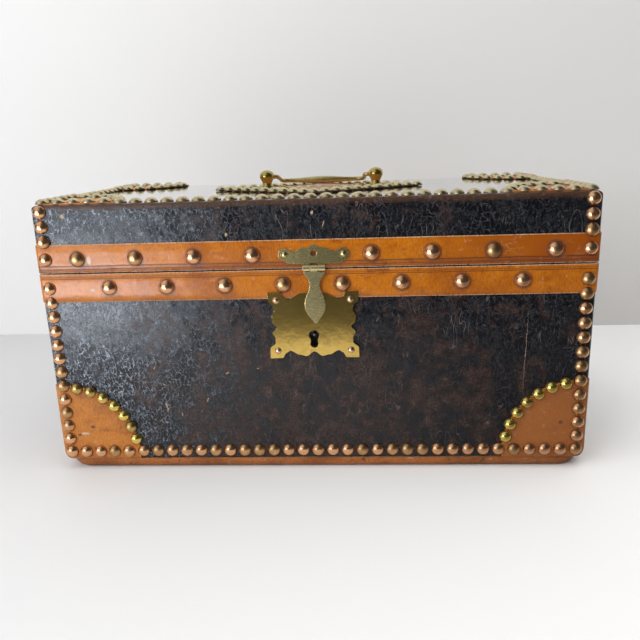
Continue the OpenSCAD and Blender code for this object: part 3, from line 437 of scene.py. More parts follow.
@dataclass(frozen=True)
class TanLeather:
    """Orange brown leather with tool lines, dark specks and scuffs, painted shade towards the right and round
    the large nails, and painted sheen in some spots.
    """

    base: Colour = shade(0.57, 0.180, 0.0040)
    dark: Colour = shade(0.27, 0.060, 0.003)
    pale: Colour = shade(0.56, 0.42, 0.30)
    speckle: Colour = shade(0.08, 0.02, 0.006)
    # Colour of the dark spots: stains on the patches, and painted shade under the hasp leaf on the lid strap.
    soot_and_shade: Colour = shade(0.055, 0.030, 0.028)
    tooling: Colour = shade(0.065, 0.022, 0.010)
    handled: Colour = shade(0.105, 0.026, 0.016)
    shadow: Colour = shade(0.10, 0.030, 0.008)
    # Colour of the dark rings round the large nails: dirt and painted shade.
    dirt: Colour = shade(0.10, 0.055, 0.035)
    split: Colour = shade(0.035, 0.013, 0.008)
    lines: tuple[float, ...] = ()
    edges: tuple[float, ...] = ()
    band: tuple[float, float] | None = None
    rings: tuple[tuple[float, ...], float] = ((), 0.0)
    rough: float = 0.16
    gloss: float = 0.40
    # Share of painted shade that darkens the leather towards the right.
    painted_right_shade: float = 0.15
    scuffs: float = 0.25
    cracks: float = 0.0
    spots: tuple[Chip, ...] = ()

    def marks(self, p: Pattern, colour: Wire, rough_edge: Wire) -> Wire:
        """Lay the single spots on the front over a colour, pale where they lean and dark elsewhere; the
        straps' spots are painted sheen and painted shade.

        Args:
            p: The material's pattern.
            colour: The colour under them.
            rough_edge: Noise that frays them.

        Returns:
            The colour with the spots.
        """
        x, y, z = p.axes(p.place)
        near = y.step(-95.0, -90.0, 0.85, 0.0)
        for spot in self.spots:
            reach = spot.reach(x - spot.x, z - spot.z) + (rough_edge - 0.5) * 1.1
            mark = reach.step(0.1, 1.1, 1.0, 0.0)
            colour = p.mix(mark * near, colour, self.pale if spot.lean > 0.0 else self.soot_and_shade)
        return colour

    def grime_and_shade(self, p: Pattern) -> Wire:
        """Mark the dark rings round the large nails on the front: dirt, and painted shade where the heads
        meet the strap.

        Args:
            p: The material's pattern.

        Returns:
            Its mask.
        """
        x, y, z = p.axes(p.place)
        places, height = self.rings
        near = y.step(-95.0, -90.0, 1.0, 0.0)
        total: Wire | None = None
        for place in places:
            reach = ((x - place) ** 2.0 + (z - height) ** 2.0) ** 0.5
            one = abs(reach - 5.6).step(0.25, 1.0, 1.0, 0.0)
            total = one if total is None else total.most(one)
        return total * near

    def build(self, name: str) -> Material:
        """Build the material.

        Args:
            name: The material's name.

        Returns:
            The material.
        """
        p = Pattern(name)
        x, _, z = p.axes(p.place)
        long = p.drawn(1.0, 1.0, 0.32)
        tone = p.clouds(p.place, 30.0, 4.0, 0.55)
        fibre = p.clouds(long, 0.9, 4.0, 0.72)
        speck = p.clouds(long, 0.8, 2.0, 0.6).step(0.58, 0.68)
        stain = p.clouds(p.drawn(0.6, 0.6, 1.0), 9.0, 5.0, 0.7).step(0.53, 0.72)
        scuff = p.hairs(p.drawn(0.4, 0.4, 1.0), 6.0, 0.014)
        scuff = scuff * p.clouds(p.place, 12.0).step(0.5, 0.66)
        wear = p.clouds(p.place, 5.5, 5.0, 0.72).step(0.60, 0.70)
        wobble = (tone - 0.5) * 0.9 + (fibre - 0.5) * 0.25
        colour = p.coats(
            p.mix(tone.step(0.40, 0.70), self.base, self.dark),
            (0.5, p.mix(fibre.step(0.3, 0.7), self.dark, self.base)),
            (stain * 0.75, self.dark),
            (speck * 0.4, self.speckle),
            # Painted shade: darker towards the right, where less light falls.
            ((x + (tone - 0.5) * 60.0).step(30.0, 170.0) * self.painted_right_shade, self.dark),
            (scuff.most(wear * 0.6) * self.scuffs, self.pale),
        )
        height = fibre * 0.25 + tone * 0.3 - scuff * 0.3
        if self.band:
            low = (z + (tone - 0.5) * 3.0).step(self.band[1], self.band[0])
            colour = p.mix(low * (0.35 + stain * 0.35), colour, self.handled)
        for i, line in enumerate(self.lines):
            groove = abs(z - line + wobble).step(0.10, 0.45, 1.0, 0.0)
            colour = p.mix(groove * (0.75 if i % 2 else 0.5), colour, self.tooling)
            height = height - groove * 1.2
        for edge in self.edges:
            under = abs(z - edge).step(0.5, 2.6, 1.0, 0.0)
            rim = abs(z - edge + (fibre - 0.5) * 0.5).step(0.25, 0.7, 1.0, 0.0)
            colour = p.coats(
                colour,
                (under * stain.most(0.35) * 0.55, self.shadow),
                (rim * fibre.step(0.36, 0.58) * 0.8, self.pale),
            )
        # Dark rings round the large nails: dirt and painted shade where the heads meet the strap.
        if self.rings[0]:
            colour = p.mix(self.grime_and_shade(p) * (0.45 + speck * 0.4), colour, self.dirt)
        if self.cracks > 0.0:
            warped = p.moved(p.place, p.clouds(p.place, 6.0, 3.0, 0.6, True), 5.0)
            split = p.cells(warped, 7.0).step(0.0, 0.05, 1.0, 0.0) * p.clouds(p.place, 20.0).step(0.48, 0.6)
            colour = p.mix(split * self.cracks, colour, self.split)
            height = height - split * self.cracks
        if self.spots:
            colour = self.marks(p, colour, p.clouds(p.place, 1.6, 3.0, 0.7))
        rough = self.rough + wear * 0.16 + fibre * 0.12
        normal = p.bump(p.clouds(p.place, 14.0, 2.0), 0.6, 0.6)
        normal = p.bump(height, 0.14, 0.8, normal)
        fixed = {"IOR": 1.5, "Specular IOR Level": self.gloss}
        return p.surface(fixed, Base_Color=colour, Roughness=rough, Normal=normal)


@dataclass(frozen=True)
class AgedBrass:
    """Sheet or turned brass, tarnished in patches, and bright on its eased edges, partly rubbed and partly a
    painted highlight.
    """

    bright: Colour = shade(0.74, 0.50, 0.13)
    tarnish: Colour = shade(0.30, 0.22, 0.085)
    pitted: Colour = shade(0.05, 0.035, 0.016)
    # Bright colour of the eased edges: rubbed brass and a painted highlight.
    rubbed: Colour = shade(0.88, 0.74, 0.42)
    shine: float = 0.19
    age: float = 0.5
    flat_axis: int | None = None

    def build(self, name: str) -> Material:
        """Build the material.

        Args:
            name: The material's name.

        Returns:
            The material.
        """
        p = Pattern(name)
        blotch = p.clouds(p.place, 7.0, 5.0, 0.65)
        fine = p.clouds(p.place, 1.4, 4.0, 0.7)
        brushed = p.clouds(p.drawn(0.12, 1.0, 1.6), 0.8, 2.0, 0.6)
        dirt = (blotch * 0.7 + fine * 0.3).step(0.50, 0.68) * self.age
        pit = fine.step(0.66, 0.74)
        colour = p.coats(p.mix(dirt, self.bright, self.tarnish), (pit * 0.55, self.pitted))
        rough = self.shine + dirt * 0.08 + brushed * 0.06 + pit * 0.05
        if self.flat_axis is not None:
            # Brighter where the face turns away from the flat sheet: rubbed edges and a painted highlight
            # along them.
            facing = p.axes(p.add("ShaderNodeTexCoord", out="Normal"))[self.flat_axis]
            rim = abs(facing).step(0.86, 0.995, 1.0, 0.0)
            colour = p.mix(rim * 0.8, colour, self.rubbed)
            rough = rough - rim * 0.05
        scratch = p.hairs(p.drawn(1.0, 1.0, 0.3), 5.0, 0.010) * blotch.step(0.42, 0.6)
        height = fine * 0.2 + brushed * 0.2 - pit - scratch * 0.5
        sheet = self.flat_axis is not None
        normal = p.bump(p.clouds(p.place, 9.0, 2.0), 0.16 if sheet else 0.22, 0.45)
        normal = p.bump(height, 0.010 if sheet else 0.035, 0.5, normal)
        return p.surface({"Metallic": 1.0}, Base_Color=colour, Roughness=rough, Normal=normal)


@dataclass(frozen=True)
class NailMetal:
    """Domed nail heads, each of its own tone, with dirt and painted shade at the rim, and a painted
    reflection on the heads on the lid's top.
    """

    bright: Colour = shade(0.77, 0.42, 0.22)
    second: Colour = shade(0.66, 0.41, 0.17)
    # Pale olive of the heads on the lid's top: a painted reflection of the pale room above.
    painted_reflection: Colour = shade(0.60, 0.53, 0.32)
    painted_reflection_z: float = 185.4
    # Dark colour at the rim, where the head meets the leather: dirt and painted shade.
    grime_and_shade: Colour = shade(0.055, 0.026, 0.014)
    dull: Colour = shade(0.30, 0.165, 0.070)
    shine: float = 0.20
    age: float = 0.5

    def build(self, name: str) -> Material:
        """Build the material.

        Args:
            name: The material's name.

        Returns:
            The material.
        """
        p = Pattern(name)
        rim = p.add("ShaderNodeAttribute", {"attribute_name": "rim"}, out="Fac")
        tone = p.add("ShaderNodeAttribute", {"attribute_name": "tone"}, out="Fac")
        film = p.clouds(p.place, 3.6, 4.0, 0.65)
        fine = p.clouds(p.place, 0.8, 3.0, 0.6)
        dull = (film * 0.6 + tone * 0.4).step(0.42, 0.72)
        # Dark band at the rim, where the head meets the leather: dirt and painted shade.
        dirt = (rim + (film - 0.5) * 0.16).step(0.93, 1.0)
        colour = p.coats(
            p.mix(tone.step(0.45, 1.0, 0.0, 0.7), self.bright, self.second),
            (dull * self.age, self.dull),
            # Painted reflection on the heads above this height, on the lid's top.
            (p.axes(p.place)[2].step(self.painted_reflection_z, self.painted_reflection_z + 0.6) * 0.85, self.painted_reflection),
            (dirt * 0.8, self.grime_and_shade),
        )
        rough = self.shine + dull * 0.12 + fine * 0.06 + dirt * 0.3
        normal = p.bump(film * 0.7 + fine * 0.2, 0.14, 0.5)
        metal = dirt.step(0.2, 1.0, 1.0, 0.6)
        return p.surface({}, Metallic=metal, Base_Color=colour, Roughness=rough, Normal=normal)


@dataclass(frozen=True)
class LiningPaper:
    """Aged lining paper with laid lines, foxing and darker folds."""

    base: Colour = shade(0.50, 0.40, 0.27)
    dark: Colour = shade(0.36, 0.27, 0.165)
    foxing: Colour = shade(0.22, 0.10, 0.04)
    fold: Colour = shade(0.62, 0.54, 0.42)

    def build(self, name: str) -> Material:
        """Build the material.

        Args:
            name: The material's name.

        Returns:
            The material.
        """
        p = Pattern(name)
        x, y, _ = p.axes(p.place)
        laid = ((x + y) * 4.2).sine() * 0.5 + 0.5
        cloud = p.clouds(p.place, 45.0, 5.0, 0.6)
        fox = p.clouds(p.place, 3.2, 3.0, 0.5).step(0.66, 0.76)
        crease = p.hairs(p.place, 60.0, 0.006)
        colour = p.coats(
            p.mix(cloud.step(0.42, 0.8), self.base, self.dark),
            (0.10 * laid, self.dark),
            (fox * 0.5, self.foxing),
            (crease * 0.4, self.fold),
        )
        normal = p.bump(laid * 0.3 + p.clouds(p.place, 1.2, 3.0) * 0.5 + crease, 0.08, 0.7)
        fixed = {"Specular IOR Level": 0.25}
        return p.surface(fixed, Base_Color=colour, Roughness=0.82 + fox * 0.05, Normal=normal)


@dataclass(frozen=True)
class PineWood:
    """Plain softwood with its grain along the board."""

    early: Colour = shade(0.52, 0.33, 0.16)
    late: Colour = shade(0.27, 0.14, 0.055)

    def build(self, name: str) -> Material:
        """Build the material.

        Args:
            name: The material's name.

        Returns:
            The material.
        """
        p = Pattern(name)
        along = p.drawn(0.05, 0.35, 1.0)
        bent = p.moved(along, p.clouds(along, 9.0, 2.0, 0.5, True), 5.0)
        ring = p.axes(bent)[2]
        grain = (ring * 1.7).sine() * 0.5 + 0.5
        pore = p.clouds(p.drawn(0.08, 1.0, 1.0), 0.7, 3.0, 0.7)
        colour = p.mix(grain.step(0.35, 0.95), self.early, self.late)
        colour = p.mix(pore.step(0.55, 0.75) * 0.4, colour, self.late)
        normal = p.bump(grain * 0.4 + pore, 0.10, 0.6)
        return p.surface({}, Base_Color=colour, Roughness=0.55 + pore * 0.2, Normal=normal)


@dataclass(frozen=True)
class DullIron:
    """Grey iron with a brown film."""

    base: Colour = shade(0.20, 0.19, 0.18)
    rust: Colour = shade(0.16, 0.065, 0.03)

    def build(self, name: str) -> Material:
        """Build the material.

        Args:
            name: The material's name.

        Returns:
            The material.
        """
        p = Pattern(name)
        film = p.clouds(p.place, 4.0, 5.0, 0.7)
        fine = p.clouds(p.place, 0.7, 3.0, 0.6)
        rust = film.step(0.52, 0.68)
        colour = p.mix(rust * 0.8, self.base, self.rust)
        metal = rust.step(0.0, 1.0, 1.0, 0.2)
        rough = 0.42 + rust * 0.3 + fine * 0.1
        normal = p.bump(film * 0.5 + fine * 0.5, 0.08, 0.7)
        return p.surface({}, Metallic=metal, Base_Color=colour, Roughness=rough, Normal=normal)


# Mesh work


def linked(name: str, data: bpy.types.ID) -> Piece:
    """Make an object of a mesh, lamp or camera in the scene.

    Args:
        name: Its name.
        data: What it shows.

    Returns:
        The object, at the origin.
    """
    piece = bpy.data.objects.new(name, data)
    bpy.context.scene.collection.objects.link(piece)
    return piece


def merged_copy(node: str, name: str) -> Piece:
    """Copy a CAD node to a clean mesh with shared corners.

    Args:
        node: Name of the CAD node.
        name: Name of the new piece.

    Returns:
        The new object, at the origin.
    """
    work = bmesh.new()
    work.from_mesh(frame["nodes"][node].data)
    bmesh.ops.remove_doubles(work, verts=work.verts, dist=0.002 * MM)
    bmesh.ops.dissolve_limit(
        work,
        angle_limit=math.radians(FLAT_ANGLE),
        verts=work.verts,
        edges=work.edges,
        use_dissolve_boundaries=False,
    )
    mesh = bpy.data.meshes.new(name)
    work.to_mesh(mesh)
    work.free()
    return linked(name, mesh)


def cut_grid(piece: Piece, pitch: float) -> None:
    """Cut a mesh's faces along planes across X, Y and Z.

    Args:
        piece: The piece to cut.
        pitch: Distance between the planes, in metres.
    """
    work = bmesh.new()
    work.from_mesh(piece.data)
    for axis in range(3):
        low = min(v.co[axis] for v in work.verts)
        high = max(v.co[axis] for v in work.verts)
        count = int((high - low) / pitch)
        normal = Vector((0.0, 0.0, 0.0))
        normal[axis] = 1.0
        for i in range(1, count):
            cut = Vector((0.0, 0.0, 0.0))
            cut[axis] = low + (high - low) * i / count
            whole = work.verts[:] + work.edges[:] + work.faces[:]
            bmesh.ops.bisect_plane(work, geom=whole, dist=1e-7, plane_co=cut, plane_no=normal)
    work.to_mesh(piece.data)
    work.free()


def ripple(piece: Piece, amount: float, size: float, seed: float, level: float = 1.0) -> None:
    """Move each corner a little, so that flat leather isn't dead flat.

    Args:
        piece: The piece to change.
        amount: Largest move, in metres.
        size: Size of a wave, in metres.
        seed: Offset of the noise.
        level: Share of the move that is kept along Z.
    """
    noise.seed_set(WAVE_SEED)
    shift = Vector((seed, 2.3 * seed, -1.7 * seed))
    kept = Vector((1.0, 1.0, level))
    for vertex in piece.data.vertices:
        vertex.co += noise.noise_vector(vertex.co / size + shift) * kept * amount


def smooth(piece: Piece, angle: float = 35.0) -> None:
    """Shade a piece smooth, except at its sharp edges.

    Args:
        piece: The piece to change.
        angle: Angle over which an edge stays sharp, in degrees.
    """
    for polygon in piece.data.polygons:
        polygon.use_smooth = True
    piece.data.set_sharp_from_angle(angle=math.radians(angle))


def evaluated(piece: Piece) -> None:
    """Turn a piece with modifiers into its plain final mesh.

    Args:
        piece: The piece to change.
    """
    graph = bpy.context.evaluated_depsgraph_get()
    mesh = bpy.data.meshes.new_from_object(piece.evaluated_get(graph), depsgraph=graph)
    mesh.name = piece.name
    piece.modifiers.clear()
    piece.data = mesh


def ease_edges(piece: Piece, width: float) -> None:
    """Round a piece's sharp edges.

    Args:
        piece: The piece to change.
        width: Width of the rounding, in metres.
    """
    bevel = piece.modifiers.new("ease", "BEVEL")
    bevel.width = width
    bevel.segments = 2
    bevel.limit_method = "ANGLE"
    bevel.angle_limit = math.radians(SHARP_ANGLE)
    bevel.use_clamp_overlap = True
    bevel.miter_outer = "MITER_ARC"
    evaluated(piece)


def settle(piece: Piece, body: str, node: str, material: Material) -> None:
    """Give a finished piece its material and body, and hide the node that it stands for.

    Args:
        piece: The finished piece.
        body: The CAD body that it rides on.
        node: The CAD node that it stands for.
        material: Its material.
    """
    piece.data.materials.clear()
    piece.data.materials.append(material)
    for polygon in piece.data.polygons:
        polygon.material_index = 0
    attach(piece, body)
    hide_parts(node)
    LOG.info("%s: %d faces, on %s", piece.name, len(piece.data.polygons), body)


# Nails


class NailTree(Graph):
    """Geometry Nodes tree that sets a domed head on each point of a mesh."""

    SIZES = {
        "Head width": 9.2 * MM,
        "Head height": 3.2 * MM,
        "Skirt": 0.3 * MM,
        "Tilt": 0.045,
        "Least size": 0.97,
    }

    def __init__(self, name: str) -> None:
        """Build the tree with its named inputs.

        Args:
            name: Its name.
        """
        super().__init__(bpy.data.node_groups.new(name, "GeometryNodeTree"))
        face = self.tree.interface
        face.new_socket("Places", in_out="INPUT", socket_type="NodeSocketGeometry")
        for label, value in self.SIZES.items():
            face.new_socket(label, in_out="INPUT", socket_type="NodeSocketFloat").default_value = value
        face.new_socket("Seed", in_out="INPUT", socket_type="NodeSocketInt")
        face.new_socket("Metal", in_out="INPUT", socket_type="NodeSocketMaterial")
        face.new_socket("Heads", in_out="OUTPUT", socket_type="NodeSocketGeometry")
        self.given = self.add("NodeGroupInput").socket.node
        self.build()

    def input(self, name: str) -> Wire:
        """Return the wire of one of the tree's inputs."""
        return Wire(self, self.given.outputs[name])

    def store(self, geometry: Wire, domain: str, name: str, value: Wire) -> Wire:
        """Return a geometry with a named number on each point or instance."""
        inputs = {"Geometry": geometry, "Name": name, "Value": value}
        return self.add("GeometryNodeStoreNamedAttribute", {"data_type": "FLOAT", "domain": domain}, inputs)

    def head(self) -> Wire:
        """Shape one closed domed head, with its rim attribute.

        Returns:
            The head.
        """
        inputs = {"Vertices": 16, "Side Segments": 5, "Radius Top": 0.0, "Radius Bottom": 1.0, "Depth": 1.0}
        cone = self.add("GeometryNodeMeshCone", {"fill_type": "NGON"}, inputs)
        x, y, _ = self.axes(self.add("GeometryNodeInputPosition"))
        reach = (x * x + y * y) ** 0.5
        turn = reach * (0.5 * math.pi)
        grow = turn.sine() / reach.most(1e-6) * (self.input("Head width") * 0.5)
        deep = self.input("Skirt")
        height = turn.cosine() * (self.input("Head height") + deep) - deep
        place = self.add("ShaderNodeCombineXYZ", inputs={0: x * grow, 1: y * grow, 2: height})
        marked = self.store(cone, "POINT", "rim", turn.sine())
        return self.add("GeometryNodeSetPosition", inputs={"Geometry": marked, "Position": place})

    def random(self, low: float | Wire, high: float | Wire, salt: int) -> Wire:
        """Return a random number for each point, with a salt that tells one use from another."""
        inputs = {2: low, 3: high, "Seed": self.input("Seed") + float(salt)}
        return self.add("FunctionNodeRandomValue", {"data_type": "FLOAT"}, inputs, 1)

    def build(self) -> None:
        """Set the heads on the points, and close the tree."""
        out = self.add("GeometryNodeInputNamedAttribute", {"data_type": "FLOAT_VECTOR"}, {"Name": "out"})
        upright = self.add("FunctionNodeAlignRotationToVector", {"axis": "Z"}, {"Vector": out})
        tilt = self.input("Tilt")
        side, fore = (self.random(tilt * -1.0, tilt, salt) for salt in (1, 2))
        inputs = {0: side, 1: fore, 2: self.random(0.0, 2.0 * math.pi, 3)}
        angles = self.add("ShaderNodeCombineXYZ", inputs=inputs)
        lean = self.add("FunctionNodeEulerToRotation", inputs={0: angles})
        inputs = {"Rotation": upright, "Rotate By": lean}
        leaned = self.add("FunctionNodeRotateRotation", {"rotation_space": "LOCAL"}, inputs)
        size = self.random(self.input("Least size"), 1.0, 4)
        scale = self.add("ShaderNodeCombineXYZ", inputs={0: size, 1: size, 2: size})
        inputs = {"Points": self.input("Places"), "Instance": self.head(), "Rotation": leaned, "Scale": scale}
        heads = self.add("GeometryNodeInstanceOnPoints", inputs=inputs)
        heads = self.store(heads, "INSTANCE", "tone", self.random(0.0, 1.0, 5))
        heads = self.add("GeometryNodeRealizeInstances", inputs={"Geometry": heads})
        heads = self.add("GeometryNodeSetShadeSmooth", inputs={"Geometry": heads, "Shade Smooth": True})
        metal = self.input("Metal")
        heads = self.add("GeometryNodeSetMaterial", inputs={"Geometry": heads, "Material": metal})
        self.add("NodeGroupOutput", inputs={0: heads})


@dataclass
class Spots:
    """Places of nails: points with the way that each head faces, in millimetres."""

    points: list[Vector] = field(default_factory=list)
    ways: list[Vector] = field(default_factory=list)

    def put(self, point: Sequence[float], way: Sequence[float]) -> None:
        """Add one place."""
        self.points.append(Vector(point))
        self.ways.append(Vector(way))


@dataclass(frozen=True)
class NailSet:
    """One kind of nail head on one body, in place of its CAD node."""

    node: str
    body: str
    slot: Slot
    head: tuple[float, float]
    seed: int

    def build(self, tree: NailTree, spots: Spots, metal: Material) -> None:
        """Make the heads.

        Args:
            tree: The tree that sets them.
            spots: Their places.
            metal: Their material.
        """
        mesh = bpy.data.meshes.new(self.node + "_heads")
        mesh.from_pydata([p * MM for p in spots.points], [], [])
        ways = mesh.attributes.new("out", "FLOAT_VECTOR", "POINT").data
        ways.foreach_set("vector", [part for way in spots.ways for part in way])
        piece = linked(self.node + "_heads", mesh)
        modifier = piece.modifiers.new("heads", "NODES")
        modifier.node_group = tree.tree
        width, height = self.head
        values = {"Head width": width * MM, "Head height": height * MM, "Seed": self.seed, "Metal": metal}
        for item in tree.tree.interface.items_tree:
            if item.in_out == "INPUT" and item.name in values:
                modifier[item.identifier] = values[item.name]
        evaluated(piece)
        settle(piece, self.body, self.node, metal)


@dataclass(frozen=True)
class BoxSizes:
    """Sizes of the box that the nails and finishes follow, in millimetres."""

    width: float = 362.0
    depth: float = 198.0
    strap: float = 0.8
    inset: float = 6.0
    bottom_z: float = 7.4
    foot_z: float = 13.6
    foot_r: float = 9.0
    side_sink: float = 0.4
    seam_z: float = 141.3
    seam_half: float = 0.4
    lid_top: float = 186.0
    case_strap_low: float = 121.9
    case_strap_z: float = 131.4
    lid_strap_z: float = 150.75
    lid_strap_top: float = 160.4
    arc: float = 48.0
    reach: float = 49.5
    row_pitch: float = 10.3
    column_pitch: float = 9.85
    patch_pitch: float = 9.5
    strap_pitch: float = 38.4
    side_inset: float = 12.0
    arc_start: float = 11.0
    strap_end: float = 21.0
    side_strap_end: float = 10.4
    lozenge: tuple[float, float] = (76.0, 56.0)
    small_head: tuple[float, float] = (9.2, 3.2)
    arc_head: tuple[float, float] = (8.8, 3.1)
    large_head: tuple[float, float] = (10.8, 3.7)

    @property
    def corner_x(self) -> float:
        """Sideways place of the corner nails."""
        return self.width / 2 - self.inset

    @property
    def corner_y(self) -> float:
        """Place of the corner nails from front to back."""
        return self.depth / 2 - self.inset

    def spread(self, low: float, high: float, pitch: float) -> list[float]:
        """Even places from low to high, at most a pitch apart."""
        count = math.ceil((high - low) / pitch - 0.02)
        return [low + (high - low) * i / count for i in range(count + 1)]

    def along_strap(self, half: float, off: float) -> list[float]:
        """Places at the strap pitch within a half length, off the middle by a share of the pitch."""
        count = math.floor((half - off * self.strap_pitch) / self.strap_pitch)
        return sorted({s * (i + off) * self.strap_pitch for i in range(count + 1) for s in (-1, 1)})

    def front_strap(self, off: float) -> list[float]:
        """Places of a strap's nails along the front or the back."""
        return self.along_strap(self.width / 2 - self.strap_end, off)

    def side_strap(self, off: float) -> list[float]:
        """Places of a strap's nails along an end."""
        return self.along_strap(self.depth / 2 - self.side_strap_end, off)

    def arc_offsets(self) -> list[tuple[float, float]]:
        """Space a patch's arc of nails.

        Returns:
            Their offsets from its corner nail.
        """
        span = math.radians(90.0 - 2.0 * self.arc_start)
        count = round(self.arc * span / self.patch_pitch)
        turns = [math.radians(self.arc_start) + span * i / count for i in range(count + 1)]
        return [(self.arc * math.cos(t), self.arc * math.sin(t)) for t in turns]

# Sub-assemblies


@dataclass
class Case:
    """The lower part of the box with its lock plate."""

    sizes: BoxSizes
    body: str = "case"

    def edge_spots(self) -> Spots:
        """Place the rows and columns of small nails.

        Returns:
            Their places.
        """
        s, spots = self.sizes, Spots()
        for way in (-1.0, 1.0):
            face = way * s.depth / 2
            for x in s.spread(-s.corner_x, s.corner_x, s.row_pitch):
                lift = s.strap if abs(x) > s.corner_x - s.reach else 0.0
                spots.put((x, face + way * lift, s.foot_z), (0, way, 0))
            for side in (-1.0, 1.0):
                for z in s.spread(s.foot_z, s.case_strap_z, s.column_pitch)[1:]:
                    lift = s.strap if z < s.foot_z + s.reach or z > s.case_strap_low else 0.0
                    spots.put((side * s.corner_x, face + way * lift, z), (0, way, 0))
            far = s.depth / 2 - s.side_inset
            sink = (s.bottom_z + s.foot_r - s.foot_z) / s.foot_r
            level = math.sqrt(1.0 - sink * sink)
            for y in s.spread(-far, far, s.row_pitch):
                reach = s.foot_r - s.side_sink + (s.strap if abs(y) > s.corner_y - s.reach else 0.0)
                x = way * (s.width / 2 - s.foot_r + reach * level)
                spots.put((x, y, s.bottom_z + s.foot_r - reach * sink), (way * level, 0, -sink))
        return spots

    def patch_spots(self) -> Spots:
        """Place the arcs of nails round the lower patches.

        Returns:
            Their places.
        """
        s, spots = self.sizes, Spots()
        for along, up in s.arc_offsets():
            for a in (-1.0, 1.0):
                for b in (-1.0, 1.0):
                    face_y = b * (s.depth / 2 + s.strap)
                    spots.put((a * (s.corner_x - along), face_y, s.foot_z + up), (0, b, 0))
                    face_x = a * (s.width / 2 + s.strap)
                    spots.put((face_x, b * (s.corner_y - along), s.foot_z + up), (a, 0, 0))
        return spots

    def strap_spots(self) -> Spots:
        """Place the large nails of the strap.

        Returns:
            Their places.
        """
        s, spots = self.sizes, Spots()
        for way in (-1.0, 1.0):
            for x in s.front_strap(0.5):
                spots.put((x, way * (s.depth / 2 + s.strap), s.case_strap_z), (0, way, 0))
            for y in s.side_strap(0.5):
                spots.put((way * (s.width / 2 + s.strap), y, s.case_strap_z), (way, 0, 0))
        return spots


@dataclass
class Lid:
    """The lid with its handle's posts and the hasp's leaf."""

    sizes: BoxSizes
    body: str = "lid"
    nail_drop: float = 4.4
    nail_pitch: float = 9.6

    def edge_spots(self) -> Spots:
        """Place the columns of small nails and the rows on the top.

        Returns:
            Their places.
        """
        s, spots = self.sizes, Spots()
        for way in (-1.0, 1.0):
            face = way * s.depth / 2
            for side in (-1.0, 1.0):
                x = side * s.corner_x
                spots.put((x, face + way * s.strap, s.lid_strap_z), (0, way, 0))
                for i in range(3):
                    z = s.lid_top - self.nail_drop - i * self.nail_pitch
                    lift = s.strap if i == 2 else 0.0
                    spots.put((x, face + way * lift, z), (0, way, 0))
        for x in s.spread(-s.corner_x, s.corner_x, s.row_pitch):
            in_patch = abs(x) > s.corner_x - s.reach
            lift = s.strap if in_patch else 0.0
            spots.put((x, -s.corner_y, s.lid_top + lift), (0, 0, 1))
            if in_patch:
                spots.put((x, s.corner_y, s.lid_top + s.strap), (0, 0, 1))
        for y in s.spread(-s.corner_y, s.corner_y, s.row_pitch)[1:-1]:
            lift = s.strap if abs(y) > s.corner_y - s.reach else 0.0
            for side in (-1.0, 1.0):
                spots.put((side * s.corner_x, y, s.lid_top + lift), (0, 0, 1))
        return spots

    def patch_spots(self) -> Spots:
        """Place the arcs at the corners and the lozenge under the handle.

        Returns:
            Their places.
        """
        s, spots = self.sizes, Spots()
        top = s.lid_top + s.strap
        for along, up in s.arc_offsets():
            for a in (-1.0, 1.0):
                for b in (-1.0, 1.0):
                    spots.put((a * (s.corner_x - along), b * (s.corner_y - up), top), (0, 0, 1))
        half_w, half_d = s.lozenge
        count = round(math.hypot(half_w, half_d) / s.patch_pitch)
        for i in range(count):
            t = i / count
            for turn in (1.0, -1.0):
                spots.put((turn * half_w * (1 - t), turn * half_d * t, top), (0, 0, 1))
                spots.put((-turn * half_w * t, turn * half_d * (1 - t), top), (0, 0, 1))
        return spots

    def strap_spots(self) -> Spots:
        """Place the large nails of the strap.

        Returns:
            Their places.
        """
        s, spots = self.sizes, Spots()
        for x in s.front_strap(1.0):
            spots.put((x, -s.depth / 2 - s.strap, s.lid_strap_z), (0, -1, 0))
        for x in s.front_strap(0.0):
            spots.put((x, s.depth / 2 + s.strap, s.lid_strap_z), (0, 1, 0))
        for way in (-1.0, 1.0):
            for y in s.side_strap(0.0):
                spots.put((way * (s.width / 2 + s.strap), y, s.lid_strap_z), (way, 0, 0))
        return spots


@dataclass(frozen=True)
class Working:
    """How a leather piece is worked, in millimetres, with the angle over which its edges stay sharp."""

    ease: float
    grid: float
    move: float
    wave: float
    seed: float
    level: float = 1.0
    sharp: float = 50.0


@dataclass(frozen=True)
class Skins:
    """Leather, straps and patches, made from the CAD's own outlines with eased edges and slight waves."""

    black: Working = Working(0.0, 5.0, 0.13, 17.0, 3.1, 0.12, 30.0)
    strap: Working = Working(0.28, 6.0, 0.10, 12.0, 7.7)
    patch: Working = Working(0.25, 5.0, 0.08, 9.0, 1.9)
    handle_patch: Working = Working(0.25, 5.0, 0.06, 9.0, 5.9)
    plinth: Working = Working(0.3, 6.0, 0.06, 8.0, 4.4)

    def skin(self, node: str, name: str, body: str, work: Working, material: Material) -> None:
        """Make one leather piece from its CAD node.

        Args:
            node: The CAD node.
            name: The piece's name.
            body: Its body.
            work: How it is worked.
            material: Its material.
        """
        piece = merged_copy(node, name)
        if work.ease > 0.0:
            ease_edges(piece, work.ease * MM)
        cut_grid(piece, work.grid * MM)
        ripple(piece, work.move * MM, work.wave * MM, work.seed, work.level)
        smooth(piece, work.sharp)
        settle(piece, body, node, material)

    def build(self, finishes: dict[str, Material]) -> None:
        """Make every leather piece.

        Args:
            finishes: The materials by name.
        """
        for body in ("case", "lid"):
            leather, strap = body + "_leather", body + "_strap"
            self.skin(leather, f"{body}_black_leather", body, self.black, finishes["black"])
            self.skin(strap, f"{body}_tan_strap", body, self.strap, finishes[strap])
            for place in ("front_left", "front_right", "back_left", "back_right"):
                node = f"{body}_patch_{place}"
                self.skin(node, node + "_leather", body, self.patch, finishes["patch"])
        lone = (
            ("handle_patch", "lid", self.handle_patch, "handle_patch"),
            ("base_edging", "case", self.plinth, "plinth"),
        )
        for node, body, work, finish in lone:
            self.skin(node, node + "_leather", body, work, finishes[finish])


